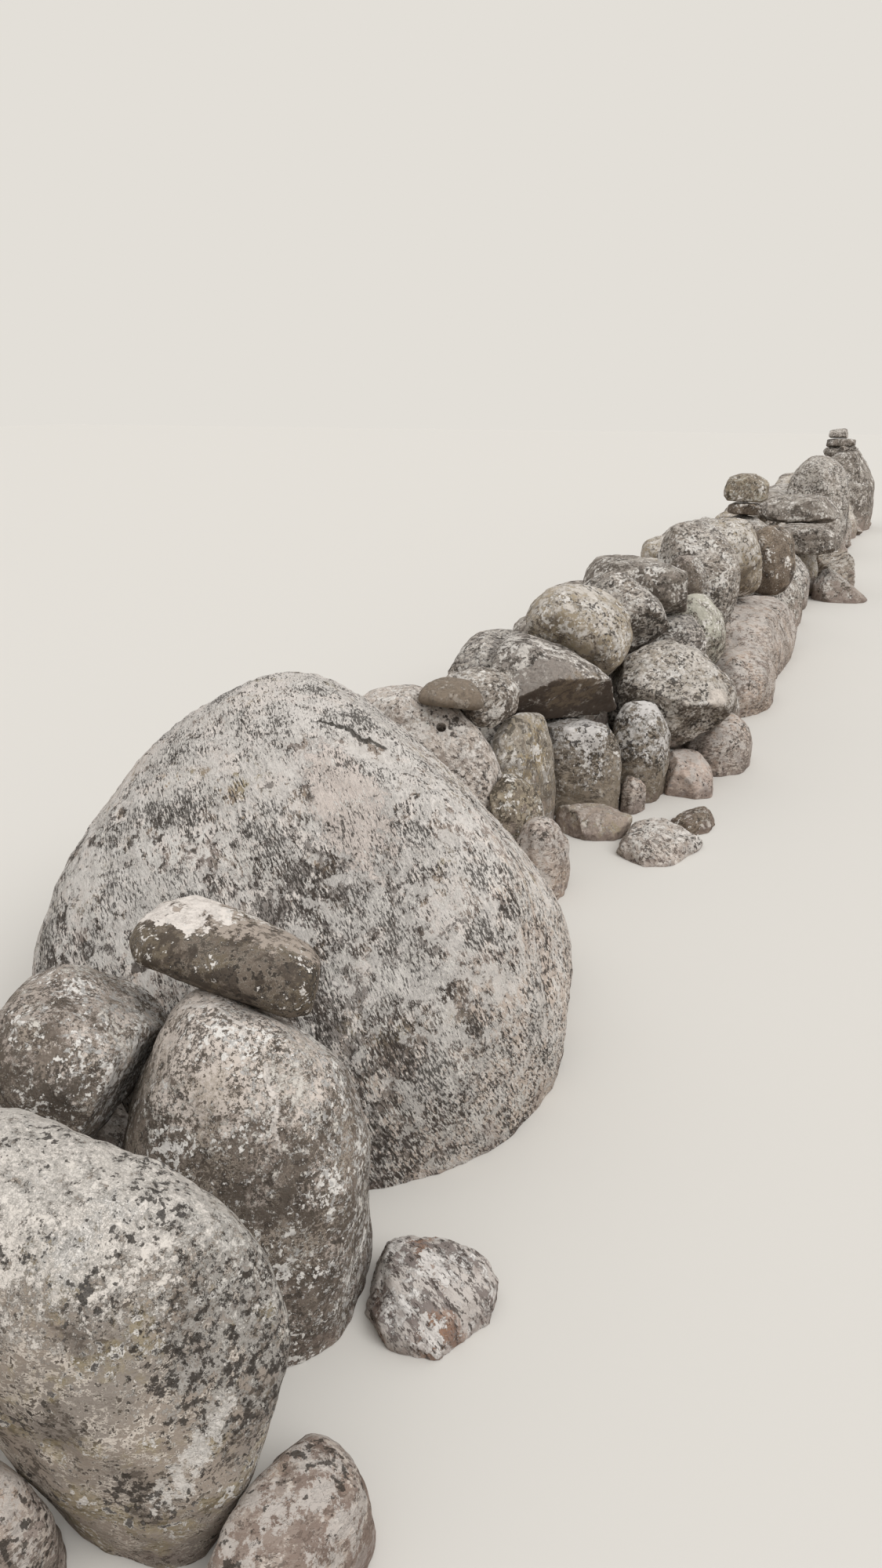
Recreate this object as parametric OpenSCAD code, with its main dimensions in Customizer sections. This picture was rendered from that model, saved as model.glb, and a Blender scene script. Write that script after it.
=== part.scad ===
// Dry stone wall of glacial fieldstones, laid without mortar beside a path.
// +X runs along the wall, +Y points across it to the lawn, +Z is up, and the ground is at Z = 0.
// The origin is on the ground, under the middle of the run. Sizes are in millimetres.
// A size is [length along the wall, width across it, height]. A stone that stands on the ground
// gives its height above the ground, and any other stone its full height.

/* [Wall] */
// Width of the wall, which places across it are shares of
wall_w = 1000; // [600:10:1600]

/* [Near end] */
// Round boulder that closes the near end
near_boulder = [350, 700, 560]; // [100:10:2000]
// Half-buried footing in front of it
near_footing = [310, 190, 150]; // [100:10:2000]
// Small upright stone below the round boulder
near_upright = [170, 160, 220]; // [100:10:2000]
// Tall lichen-covered boulder
dark_boulder = [480, 470, 570]; // [100:10:2000]
// Pale stone behind the wedge stone
pale_back_stone = [420, 420, 260]; // [100:10:2000]
// Wedge laid between the boulders
wedge_stone = [370, 290, 330]; // [100:10:2000]
// Loaf-shaped stone on the tall boulder
loaf_stone = [210, 330, 120]; // [100:10:2000]
// White split stone in the ground
white_split_stone = [240, 260, 100]; // [50:10:2000]

/* [Great boulder] */
// Great boulder that spans the wall
great_boulder = [1640, 1290, 860]; // [400:10:2400]

/* [Behind the great boulder] */
// Pale boulder with the drill hole
drilled_boulder = [420, 620, 560]; // [100:10:2000]
// Leaning stone at the foot of the face
lean_stone = [300, 250, 330]; // [100:10:2000]
// Pinkish stone at its foot
pink_foot_stone = [260, 180, 250]; // [100:10:2000]
// Yellowish stone above the leaning stone
yellow_stone = [420, 200, 460]; // [100:10:2000]
// Grey stone at the shoulder
grey_shoulder_stone = [270, 260, 200]; // [100:10:2000]
// Small brown stone on top
brown_top_stone = [200, 190, 120]; // [50:10:2000]

/* [Foundation stones] */
// Squared block in the face
square_block = [330, 300, 350]; // [100:10:2000]
// Egg-shaped stone
egg_stone = [290, 230, 390]; // [100:10:2000]
// Small stone wedged between block and egg
chock_stone = [150, 120, 140]; // [50:10:2000]
// Pinkish footing
pink_footing = [380, 220, 160]; // [50:10:2000]
// Round footing under the broad boulder
round_footing = [440, 290, 220]; // [100:10:2000]
// Low footing
low_footing = [700, 350, 280]; // [100:10:2000]
// Long pale footing
long_footing = [1520, 560, 340]; // [100:10:2000]
// Footing below the cairn
cairn_footing = [850, 500, 340]; // [100:10:2000]
// Brown-banded stone at the foot
banded_stone = [640, 380, 330]; // [100:10:2000]
// Boulder that stands out on the path
path_boulder = [480, 420, 240]; // [50:10:2000]
// Inner footing behind the round one
inner_footing = [700, 400, 320]; // [100:10:2000]
// Footing that repeats past the cairn
far_footing = [800, 480, 400]; // [300:10:1200]

/* [Flat stones in the ground] */
// White flat stone
white_flat_stone = [380, 300, 80]; // [40:10:2000]
// Brown flat stone
brown_flat_stone = [260, 160, 60]; // [40:10:2000]
// Thin grey slab
thin_slab = [260, 300, 110]; // [40:10:2000]

/* [Face stones] */
// Broad boulder
broad_boulder = [570, 530, 440]; // [100:10:2000]
// Stone below the slab
under_slab_stone = [340, 340, 300]; // [100:10:2000]
// Round stone with green lichen
green_stone = [310, 300, 380]; // [100:10:2000]
// Dark filling stone
dark_filler = [230, 220, 260]; // [100:10:2000]
// Tall boulder
tall_boulder = [480, 440, 700]; // [100:10:2000]
// Boulder beside the tall one
twin_boulder = [620, 420, 480]; // [100:10:2000]
// Brown boulder
brown_boulder = [400, 300, 440]; // [100:10:2000]
// Boulder that carries the cairn
cairn_base = [600, 480, 430]; // [100:10:2000]
// Lower of the two long boulders
lower_long_boulder = [600, 500, 240]; // [100:10:2000]

/* [Cap stones] */
// Angular cap that overhangs the face
overhang_cap = [560, 540, 280]; // [100:10:2000]
// Round cap
round_cap = [450, 430, 400]; // [100:10:2000]
// Peaked cap
peaked_cap = [410, 470, 370]; // [100:10:2000]
// Slab cap
slab_cap = [500, 560, 270]; // [100:10:2000]
// Flat lower stone of the cairn
cairn_flat = [300, 240, 120]; // [50:10:2000]
// Block on top of the cairn
cairn_block = [290, 330, 200]; // [100:10:2000]
// Upper of the two long boulders
upper_long_boulder = [740, 660, 240]; // [100:10:2000]

/* [Far end] */
// Big boulder at the far end
far_boulder = [900, 620, 930]; // [100:10:2000]
// Last boulder
last_boulder = [1000, 640, 900]; // [100:10:2000]
// Lower flat stone on the last boulder
last_flat = [420, 380, 130]; // [50:10:2000]
// Upper flat stone on the last boulder
last_cap = [380, 330, 120]; // [50:10:2000]

/* [Lawn side] */
// Footing that repeats along the lawn side
lawn_footing = [640, 520, 400]; // [200:10:1000]
// Upper stone that repeats along the lawn side
lawn_upper = [520, 420, 240]; // [150:10:800]
// Place of the lawn-side footings across the wall, as a share of its width
lawn_share = 0.3; // [0.2:0.01:0.45]

/* [Seats] */
// How far a laid stone beds into the stone that carries it
bedding = 30; // [10:1:60]
// Clearance left between two stones where they bear on each other
seat_gap = 0.2; // [0.1:0.1:0.5]

/* [Hidden] */
// From the middle of the run back to the middle of the great boulder
great_boulder_back = 5750;
// Number of lawn-side footings
lawn_count = 19;
// Place of the path-side footings past the cairn across the wall, as a share of its width
far_share = -0.23;
// Most that a stone that repeats stands off its line, as a share of the wall's width
shift_share = 0.03;
// Even chances from 0 to 1 for what repeats
chance = rands(0, 1, 120, 7);
// Fraction of a laid footing that is in the ground
foot_share = 0.3;
// Directions in which a stone's reach is measured, in half a sphere; the others are their opposites
half_ways = 70;
// Sharpness of a stone's edges
edge_power = 9;
// Corners of the bearing ring where two stones meet
ring_corners = 5;
// Radius of that bearing ring
ring_r = 22;
// Golden angle, which spreads points evenly over a sphere
golden_angle = 180 * (3 - sqrt(5));

// Unit vector at an azimuth and an elevation
function way(az, el) = [cos(el) * cos(az), cos(el) * sin(az), sin(el)];
// Evenly spread unit vectors over the sphere
function sphere_ways(count) = [for (i = [0:count - 1])
    let (z = 1 - (2 * i + 1) / count, r = sqrt(1 - z * z), a = i * golden_angle)
        [r * cos(a), r * sin(a), z]];
upper_ways = [for (u = sphere_ways(2 * round(half_ways))) if (u.z > 0) u];
all_ways = concat(upper_ways, -1 * upper_ways);
ways = len(all_ways);

// Matrix that rolls about X, tilts about Y and turns about Z
function turn_matrix(r) =
    [[cos(r.z), -sin(r.z), 0], [sin(r.z), cos(r.z), 0], [0, 0, 1]]
    * [[cos(r.y), 0, sin(r.y)], [0, 1, 0], [-sin(r.y), 0, cos(r.y)]]
    * [[1, 0, 0], [0, cos(r.x), -sin(r.x)], [0, sin(r.x), cos(r.x)]];
function transposed(m) = [for (c = [0:2]) [for (r = [0:2]) m[r][c]]];

// Worn faces: those given by hand as [azimuth, elevation, share of the radius], and some more by chance
function worn_faces(faces, count, seed) =
    let (c = rands(0, 1, 3 * count + 1, seed))
    concat([for (f = faces) [way(f[0], f[1]), f[2]]],
        [for (k = [0:1:count - 1])
            [way(360 * c[3 * k], asin(1.9 * c[3 * k + 1] - 0.95)), 0.8 + 0.16 * c[3 * k + 2]]]);
// Distance from the middle of a stone of unit radius to its skin, in direction u
function reach(u, block, faces) =
    let (span = pow(abs(u.x), block) + pow(abs(u.y), block) + pow(abs(u.z), block),
        round_part = pow(span, edge_power / block),
        worn_part = [for (f = faces) let (h = u * f[0] / f[1]) if (h > 0.3) pow(h, edge_power)])
    pow(round_part + sum(worn_part), -1 / edge_power);
function sum(v) = len(v) == 0 ? 0 : v * [for (x = v) 1];
// Points of a stone about its middle: block is 2 for a round stone and 6 for a squared one
function stone_points(size, turn, block, faces, count) =
    let (raw = [for (u = sphere_ways(count)) reach(u, block, faces) * u],
        low = [for (c = [0:2]) min([for (p = raw) p[c]])],
        high = [for (c = [0:2]) max([for (p = raw) p[c]])],
        m = transposed(turn_matrix(turn)),
        fitted = [for (p = raw) [for (c = [0:2]) size[c] * ((p[c] - low[c]) / (high[c] - low[c]) - 0.5)]])
    fitted * m;

// How far stone points reach in each direction
function reaches(points) = [for (n = all_ways) max(points * n)];
// Place of the direction opposite to direction k
function opposite(k) = (k + ways / 2) % ways;

// Stone fields: what is given for each stone in the list below
NAME = 0; SIZE = 1; RULE = 2; TURN = 3; BLOCK = 4; SEED = 5; FACES = 6; CHANCE = 7; COUNT = 8;
// Laid fields: name, size, middle, points about the middle, reaches, widest reach, and whether it stands
// on the ground
MIDDLE = 2; POINTS = 3; REACHES = 4; SPREAD = 5; STANDS = 6;

// Rules. Set on the ground: x along the wall, and y as a share of the wall's width
function set_at(x, y, foot = foot_share) = ["set", [], [x, y], [0, 0, 0], foot];
// Slid along the wall until it beds against the named stones, +1 beyond them or -1 before them, y as a
// share of the wall's width
function along(names, sign, y, foot = foot_share) = ["slide", names, [0, y], [sign, 0, 0], foot];
// Slid across the wall, -1 on the path side or +1 on the lawn side, x from the middle of the first named
// stone as a share of its length
function across(names, sign, x, foot = foot_share) = ["slide", names, [x, 0], [0, sign, 0], foot];
// Lowered onto the named stones, x and y from the middle of the first as shares of its length and width
function on(names, x, y) = ["lower", names, [x, y], [0, 0, 1]];

// Stones that repeat, each a little different by chance
function varied(size, k) =
    [size.x * (0.94 + 0.12 * chance[k + 10]), size.y, size.z * (0.9 + 0.2 * chance[k + 40])];
function shifted(share, k) = share + shift_share * (2 * chance[k + 30] - 1);
function turned(k) = [0, 0, 30 * chance[k + 60] - 15];
function far_stone(k, before) = [str("far_footing_", k), varied(far_footing, k),
    along([before], 1, shifted(far_share, k)), turned(k), 3, 200 + k, [], 3, 50];
function lawn_stone(k) = [str("lawn_footing_", k), varied(lawn_footing, k),
    along([k == 0 ? "drilled_boulder" : str("lawn_footing_", k - 1)], 1, shifted(lawn_share, k)),
    turned(k), 3, 100 + k, [], 3, 50];
function lawn_top_stone(k) = [str("lawn_upper_", k), varied(lawn_upper, k),
    on([str("lawn_footing_", k), str("lawn_footing_", k + 1)], 0.5,
        -shift_share * (1 + 2 * chance[k + 50])),
    turned(k), 3, 300 + k, [], 3, 46];

function found(name, laid) = [for (s = laid) if (s[NAME] == name) s][0];
// Middle of a new stone that starts at base and moves along a until it beds against its bearers
function bedded(base, a, held, bearers) =
    base + a * max([for (b = bearers) min([for (k = [0:ways - 1])
        let (n = all_ways[k], run = n * a) if (run > 0.05)
            (b[REACHES][k] + held[opposite(k)] - bedding - (base - b[MIDDLE]) * n) / run])]);

function laid_stone(s, laid) =
    let (rule = s[RULE],
        lowered = rule[0] == "lower",
        size = lowered ? s[SIZE] : [s[SIZE].x, s[SIZE].y, s[SIZE].z / (1 - rule[4])],
        points = stone_points(size, s[TURN], s[BLOCK], worn_faces(s[FACES], s[CHANCE], s[SEED]), s[COUNT]),
        held = reaches(points),
        bearers = [for (n = rule[1]) found(n, laid)],
        z = lowered ? 0 : s[SIZE].z - max([for (p = points) p.z]),
        first = bearers[0],
        x_on_first = len(bearers) == 0 ? 0 : first[MIDDLE].x + rule[2].x * first[SIZE].x,
        base = rule[0] == "set" ? [rule[2].x, rule[2].y * wall_w, z]
            : rule[3].x != 0 ? [0, rule[2].y * wall_w, z]
            : lowered ? [x_on_first, first[MIDDLE].y + rule[2].y * first[SIZE].y, 0]
            : [x_on_first, 0, z],
        middle = rule[0] == "set" ? base : bedded(base, rule[3], held, bearers),
        whole = [for (c = middle) round(c)])
    [s[NAME], size, whole, points, held, max([for (p = points) norm(p)]), !lowered];
function lay(stones, i = 0, laid = []) =
    i == len(stones) ? laid : lay(stones, i + 1, concat(laid, [laid_stone(stones[i], laid)]));

// Overlap of two stones along each direction from a to b
function overlap_depths(a, b) = let (gap = b[MIDDLE] - a[MIDDLE])
    [for (k = [0:ways - 1]) a[REACHES][k] + b[REACHES][opposite(k)] - gap * all_ways[k]];
// The foremost points of a stone in direction n: [their middle, how widely they spread]
function foremost(points, n, depth) =
    let (top = max(points * n), cap = [for (p = points) if (p * n > top - depth) p],
        mid = [for (c = [0:2]) sum([for (p = cap) p[c]]) / len(cap)])
    [mid, 1 + sum([for (p = cap) norm(p - mid)]) / len(cap)];
// Seat of a against b: [direction to b, distance of the cut face from a's middle, overlap, name of b,
// middle of the bearing face from a's middle]
function seat(a, b) =
    let (depths = overlap_depths(a, b), depth = min(depths), k = search(depth, depths)[0], n = all_ways[k],
        share = pow(b[SPREAD], 2) / (pow(a[SPREAD], 2) + pow(b[SPREAD], 2)),
        face = a[REACHES][k] - share * depth - seat_gap / 2,
        cap_a = foremost(a[POINTS], n, depth), cap_b = foremost(b[POINTS], -n, depth),
        mid_b = cap_b[0] + b[MIDDLE] - a[MIDDLE],
        mid = (cap_a[0] * cap_b[1] + mid_b * cap_a[1]) / (cap_a[1] + cap_b[1]))
    [n, face, depth, b[NAME], mid + n * (face - mid * n)];
function near(a, b) = norm(b[MIDDLE] - a[MIDDLE]) < a[SPREAD] + b[SPREAD];
function seats(a, laid) = [for (b = laid) if (b[NAME] != a[NAME] && near(a, b))
    let (s = seat(a, b)) if (s[2] > 0) s];
// Two unit vectors at right angles to n
function cross_ways(n) =
    let (u = cross(n, abs(n.z) < 0.9 ? [0, 0, 1] : [1, 0, 0]), v = u / norm(u)) [v, cross(n, v)];
// Ring of points on the face where a stone bears on its neighbour
function bearing_ring(seat) = let (w = cross_ways(seat[0]))
    [for (i = [0:ring_corners - 1]) let (t = i * 360 / ring_corners)
        seat[4] + ring_r * (cos(t) * w[0] + sin(t) * w[1])];
// Points drawn in towards the middle of the stone where they would pass a seat
function drawn_in(points, seats) = [for (p = points)
    min([1, for (s = seats) let (h = p * s[0]) if (h > s[1]) s[1] / h]) * p];
function dressed(points, seats) =
    drawn_in(concat(points, [for (s = seats) each bearing_ring(s)]), seats);

// Every stone in the order in which it is laid
STONES = [
    // name, size, rule, [roll, tilt, turn], squareness, chance seed, worn faces, faces by chance, points
    ["great_boulder", great_boulder, set_at(-great_boulder_back, 0.06),
        [0, -10, 12], 2.6, 11,
        [[-70, 15, 1], [-50, 34, 0.65], [-20, 45, 0.85], [180, 40, 0.8],
         [95, 40, 0.95], [45, 45, 0.9]], 0, 260],
    ["dark_boulder", dark_boulder, along(["great_boulder"], -1, -0.27),
        [0, 0, 20], 2.5, 12, [[-90, 0, 0.95], [180, 30, 0.9], [-45, 60, 0.85], [100, 30, 0.8]], 0, 110],
    ["near_boulder", near_boulder, along(["dark_boulder"], -1, -0.25, 0.08),
        [10, -8, 0], 2.9, 13,
        [[-65, -30, 0.85], [165, -60, 0.9], [-115, 30, 0.9], [140, -20, 0.75]], 0, 140],
    ["near_footing", near_footing, across(["near_boulder"], -1, -0.1), [0, 0, -10], 2.6, 14, [], 3, 80],
    ["near_upright", near_upright, along(["near_boulder"], -1, -0.3), [0, 0, 0], 2.3, 15, [], 3, 50],
    ["pale_back_stone", pale_back_stone, along(["great_boulder"], -1, 0.12),
        [0, 0, 0], 2.3, 16, [], 3, 80],
    ["wedge_stone", wedge_stone, on(["pale_back_stone", "dark_boulder"], 0, -0.26),
        [3, 0, 15], 2.8, 17, [[160, -45, 0.7], [-90, -45, 0.6], [0, -45, 0.8], [-50, 60, 0.85]], 0, 80],
    ["loaf_stone", loaf_stone, on(["dark_boulder", "great_boulder"], 0.2, 0.1),
        [10, -5, 10], 4, 18, [[180, -20, 0.85], [-80, 0, 0.85], [-30, 40, 0.85]], 0, 80],
    ["white_split_stone", white_split_stone, across(["dark_boulder"], -1, 0.1),
        [0, 0, 0], 2.6, 19, [], 5, 60],

    ["drilled_boulder", drilled_boulder, along(["great_boulder"], 1, 0.24),
        [0, 0, 0], 3, 21, [[-60, 50, 0.85], [-130, 30, 0.85], [-90, -10, 0.95]], 2, 110],
    ["pink_foot_stone", pink_foot_stone, along(["great_boulder"], 1, -0.24),
        [0, 0, 0], 2.4, 22, [], 4, 60],
    ["lean_stone", lean_stone, along(["great_boulder", "pink_foot_stone"], 1, -0.09),
        [0, 0, 0], 3, 24, [[-120, 25, 0.85], [-30, 30, 0.8]], 2, 60],
    ["yellow_stone", yellow_stone, along(["lean_stone"], 1, -0.01),
        [0, 0, 0], 3, 25, [[-100, 30, 0.85], [-150, -20, 0.85]], 3, 60],
    ["square_block", square_block, along(["yellow_stone"], 1, -0.15),
        [0, 0, 12], 6, 23, [[-140, 5, 0.9], [-60, -30, 0.8], [180, -35, 0.85], [-60, 40, 0.95]], 0, 90],
    ["grey_shoulder_stone", grey_shoulder_stone, on(["drilled_boulder", "yellow_stone"], 0.36, -0.24),
        [0, 0, 0], 2.6, 26, [], 4, 60],
    ["brown_top_stone", brown_top_stone, on(["drilled_boulder", "grey_shoulder_stone"], -0.1, -0.2),
        [0, 0, 0], 2.6, 27, [], 4, 50],

    ["egg_stone", egg_stone, along(["square_block"], 1, -0.31),
        [0, 0, 0], 3, 32, [[-90, -40, 0.8], [180, -40, 0.8]], 1, 80],
    ["chock_stone", chock_stone, across(["square_block", "egg_stone"], -1, 0.08),
        [0, 0, 0], 2.6, 31, [], 4, 40],
    ["pink_footing", pink_footing, along(["egg_stone"], 1, -0.46),
        [0, 0, 20], 3.5, 33, [[-130, 45, 0.8], [-40, 40, 0.85]], 2, 60],
    ["round_footing", round_footing, along(["pink_footing"], 1, -0.52), [0, 0, 0], 2.4, 34, [], 3, 60],
    ["inner_footing", inner_footing, along(["round_footing"], 1, -0.34), [0, 0, 0], 2.6, 30, [], 3, 60],
    ["low_footing", low_footing, along(["inner_footing"], 1, -0.44), [0, 0, 0], 2.6, 35, [], 3, 80],
    ["long_footing", long_footing, along(["low_footing"], 1, -0.3), [0, 0, 0], 3, 36, [], 3, 110],
    ["cairn_footing", cairn_footing, along(["long_footing"], 1, -0.25), [0, 0, 0], 3, 37, [], 3, 70],
    for (k = [0:3]) far_stone(k, k == 0 ? "cairn_footing" : str("far_footing_", k - 1)),
    ["path_boulder", path_boulder, across(["far_footing_1"], -1, -0.38), [0, 0, 0], 2.6, 38, [], 3, 70],
    ["banded_stone", banded_stone, along(["path_boulder"], 1, -0.54), [0, 0, 0], 2.8, 39, [], 3, 80],
    ["far_boulder", far_boulder, along(["far_footing_3"], 1, -0.18), [0, 0, 0], 2.8, 71, [], 3, 80],
    for (k = [4:5]) far_stone(k, k == 4 ? "far_boulder" : str("far_footing_", k - 1)),
    ["last_boulder", last_boulder, along(["far_footing_5"], 1, -0.26), [0, 0, 0], 2.8, 72, [], 3, 80],

    ["thin_slab", thin_slab,
        across(["square_block", "yellow_stone", "lean_stone", "pink_foot_stone"], -1, -0.7),
        [0, 0, 0], 3, 42, [], 5, 50],
    ["white_flat_stone", white_flat_stone, across(["thin_slab", "pink_foot_stone"], -1, -0.38),
        [0, 0, 0], 2.6, 41, [], 5, 60],
    ["brown_flat_stone", brown_flat_stone, along(["white_flat_stone"], 1, -0.58),
        [0, 0, 0], 3, 43, [], 5, 50],

    for (k = [0:lawn_count - 1]) lawn_stone(k),

    ["broad_boulder", broad_boulder, on(["round_footing", "pink_footing"], -0.6, 0.56),
        [0, 0, 0], 3, 51, [[-90, -45, 0.8], [-130, 40, 0.85], [-50, 35, 0.9], [180, -40, 0.85]], 1, 110],
    ["under_slab_stone", under_slab_stone, on(["inner_footing", "broad_boulder"], -0.08, 0.3),
        [0, 0, 0], 2.8, 52, [], 4, 70],
    ["green_stone", green_stone, on(["inner_footing", "low_footing"], 0.46, 0.2),
        [0, 0, 0], 2.4, 53, [], 3, 80],
    ["tall_boulder", tall_boulder, on(["low_footing", "long_footing"], 0.3, 0.8),
        [0, 0, 0], 3, 55, [[-150, 45, 0.85], [-60, 30, 0.9], [-90, -30, 0.85]], 2, 100],
    ["dark_filler", dark_filler, on(["green_stone", "lawn_footing_2", "lawn_footing_3"], 0.55, 0.35),
        [0, 0, 0], 2.8, 59, [], 4, 60],
    ["twin_boulder", twin_boulder, on(["long_footing", "tall_boulder"], -0.05, 0.2),
        [0, 0, 0], 2.8, 56, [], 4, 90],
    ["brown_boulder", brown_boulder, on(["long_footing", "cairn_footing"], 0.53, -0.04),
        [0, 0, 0], 2.8, 57, [], 4, 80],
    ["cairn_base", cairn_base, on(["cairn_footing"], 0.35, 0.42), [0, 0, 0], 2.8, 58, [], 4, 90],

    ["overhang_cap", overhang_cap, on(["square_block", "yellow_stone", "drilled_boulder"], -0.06, 0.37),
        [20, 0, 15], 4, 61, [[-140, -40, 0.65], [-150, 35, 0.85], [-40, 40, 0.9]], 1, 110],
    ["round_cap", round_cap, on(["broad_boulder", "lawn_footing_0", "lawn_footing_1"], -0.32, 0.65),
        [0, 0, 0], 2.3, 62, [], 3, 90],
    ["peaked_cap", peaked_cap, on(["broad_boulder", "lawn_footing_1"], 0.34, 0.52),
        [0, 0, 0], 3, 63, [[-60, 45, 0.75], [-160, 40, 0.85], [-90, -45, 0.75], [120, 40, 0.8]], 1, 90],
    ["slab_cap", slab_cap, on(["under_slab_stone", "lawn_footing_2"], 0, 0.5),
        [0, 0, 0], 6, 64, [[-120, -35, 0.85], [-60, 50, 0.9]], 2, 90],
    ["cairn_flat", cairn_flat, on(["cairn_base"], 0, 0), [0, 0, 0], 3, 65, [], 3, 60],
    ["cairn_block", cairn_block, on(["cairn_flat"], 0, 0), [0, 0, 0], 4, 66, [], 3, 70],
    ["lower_long_boulder", lower_long_boulder, on(["far_footing_1", "path_boulder"], -0.35, -0.35),
        [0, 0, 0], 2.8, 67, [], 3, 80],
    ["upper_long_boulder", upper_long_boulder, on(["lower_long_boulder", "far_footing_1"], 0.65, 0.31),
        [0, 0, 0], 2.8, 68, [], 3, 90],
    for (k = [0:lawn_count - 2]) lawn_top_stone(k),
    ["last_flat", last_flat, on(["last_boulder"], 0, 0.16), [0, 0, 0], 3, 73, [], 3, 50],
    ["last_cap", last_cap, on(["last_flat"], 0, 0), [0, 0, 0], 3, 74, [], 3, 50],
];
laid = lay(STONES);

// A laid stone by name, trimmed at the ground if it stands there
module stone(name) {
    s = found(name, laid);
    points = dressed(s[POINTS], seats(s, laid));
    translate(s[MIDDLE]) difference() {
        hull() polyhedron(points = points, faces = [[for (i = [0:len(points) - 1]) i]]);
        if (s[STANDS])
            translate([-1.5 * s[SPREAD], -1.5 * s[SPREAD], -s[MIDDLE].z - 2 * s[SPREAD]])
                cube([3 * s[SPREAD], 3 * s[SPREAD], 2 * s[SPREAD]]);
    }
}
module stones(name, first, last) {
    for (k = [first:last]) stone(str(name, k));
}

module great_boulder() { color("#8f8d88") stone("great_boulder"); }
module dark_boulder() { color("#6e6a60") stone("dark_boulder"); }
module near_boulder() { color("#9a9483") stone("near_boulder"); }
module near_footings() { color("#a08f7f") { stone("near_footing"); stone("near_upright"); } }
module pale_back_stone() { color("#8f8d88") stone("pale_back_stone"); }
module wedge_stone() { color("#6e6a60") stone("wedge_stone"); }
module loaf_stone() { color("#7d7866") stone("loaf_stone"); }
module white_split_stone() { color("#b9b2aa") stone("white_split_stone"); }
module drilled_boulder() { color("#b3a79a") stone("drilled_boulder"); }
module lean_stone() { color("#8f8d88") stone("lean_stone"); }
module pink_foot_stone() { color("#a08f7f") stone("pink_foot_stone"); }
module yellow_stone() { color("#a39a78") stone("yellow_stone"); }
module grey_shoulder_stones() {
    color("#8f8d88") { stone("grey_shoulder_stone"); stone("brown_top_stone"); }
}
module square_block() { color("#84858a") stone("square_block"); }
module overhang_cap() { color("#8f8d88") stone("overhang_cap"); }
module egg_stone() { color("#84858a") stone("egg_stone"); }
module broad_boulder() { color("#8f8d88") stone("broad_boulder"); }
module round_cap() { color("#8f8d88") stone("round_cap"); }
module peaked_cap() { color("#8f8d88") stone("peaked_cap"); }
module slab_cap() { color("#9a988f") stone("slab_cap"); }
module foot_stones() { color("#a08f7f") { stone("chock_stone"); stone("pink_footing"); } }
module round_footing() { color("#a08f7f") stone("round_footing"); }
module inner_footing() { color("#8f8d88") stone("inner_footing"); }
module low_footing() { color("#a08f7f") stone("low_footing"); }
module long_footing() { color("#a39c91") stone("long_footing"); }
module cairn_footing() { color("#8f8d88") stone("cairn_footing"); }
module far_footings() { color("#8f8d88") stones("far_footing_", 0, 5); }
module path_boulder() { color("#8f8d88") stone("path_boulder"); }
module banded_stone() { color("#7f7568") stone("banded_stone"); }
module far_boulder() { color("#8f8d88") stone("far_boulder"); }
module last_boulder() { color("#8f8d88") stone("last_boulder"); }
module last_caps() { color("#8f8d88") { stone("last_flat"); stone("last_cap"); } }
module flat_ground_stones() {
    color("#b0a79b") { stone("thin_slab"); stone("white_flat_stone"); stone("brown_flat_stone"); }
}
module under_slab_stone() { color("#84858a") stone("under_slab_stone"); }
module green_stone() { color("#8c9585") stone("green_stone"); }
module dark_filler() { color("#5f5c57") stone("dark_filler"); }
module tall_boulder() { color("#8f8d88") stone("tall_boulder"); }
module twin_boulder() { color("#8f8d88") stone("twin_boulder"); }
module brown_boulder() { color("#857868") stone("brown_boulder"); }
module cairn_base() { color("#8f8d88") stone("cairn_base"); }
module cairn() { color("#8f8d88") { stone("cairn_flat"); stone("cairn_block"); } }
module lower_long_boulder() { color("#8f8d88") stone("lower_long_boulder"); }
module upper_long_boulder() { color("#8f8d88") stone("upper_long_boulder"); }
module lawn_footings_near() { color("#8f8d88") stones("lawn_footing_", 0, 9); }
module lawn_footings_far() { color("#8f8d88") stones("lawn_footing_", 10, lawn_count - 1); }
module lawn_uppers_near() { color("#8f8d88") stones("lawn_upper_", 0, 9); }
module lawn_uppers_far() { color("#8f8d88") stones("lawn_upper_", 10, lawn_count - 2); }

great_boulder();
dark_boulder();
near_boulder();
near_footings();
pale_back_stone();
wedge_stone();
loaf_stone();
white_split_stone();
drilled_boulder();
lean_stone();
pink_foot_stone();
yellow_stone();
grey_shoulder_stones();
square_block();
overhang_cap();
egg_stone();
broad_boulder();
round_cap();
peaked_cap();
slab_cap();
foot_stones();
round_footing();
inner_footing();
low_footing();
long_footing();
cairn_footing();
far_footings();
path_boulder();
banded_stone();
far_boulder();
last_boulder();
last_caps();
flat_ground_stones();
under_slab_stone();
green_stone();
dark_filler();
tall_boulder();
twin_boulder();
brown_boulder();
cairn_base();
cairn();
lower_long_boulder();
upper_long_boulder();
lawn_footings_near();
lawn_footings_far();
lawn_uppers_near();
lawn_uppers_far();
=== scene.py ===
# Dry stone wall of glacial fieldstones: each CAD stone gets its worn, lichen-covered skin.
# The frame is in metres: +X along the wall, -Y to its front, +Y to its back, +Z up, the ground at Z = 0.
import bpy
import math
import random
from mathutils import Euler, Matrix, Vector
from mathutils.bvhtree import BVHTree
from statistics import NormalDist


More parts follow.
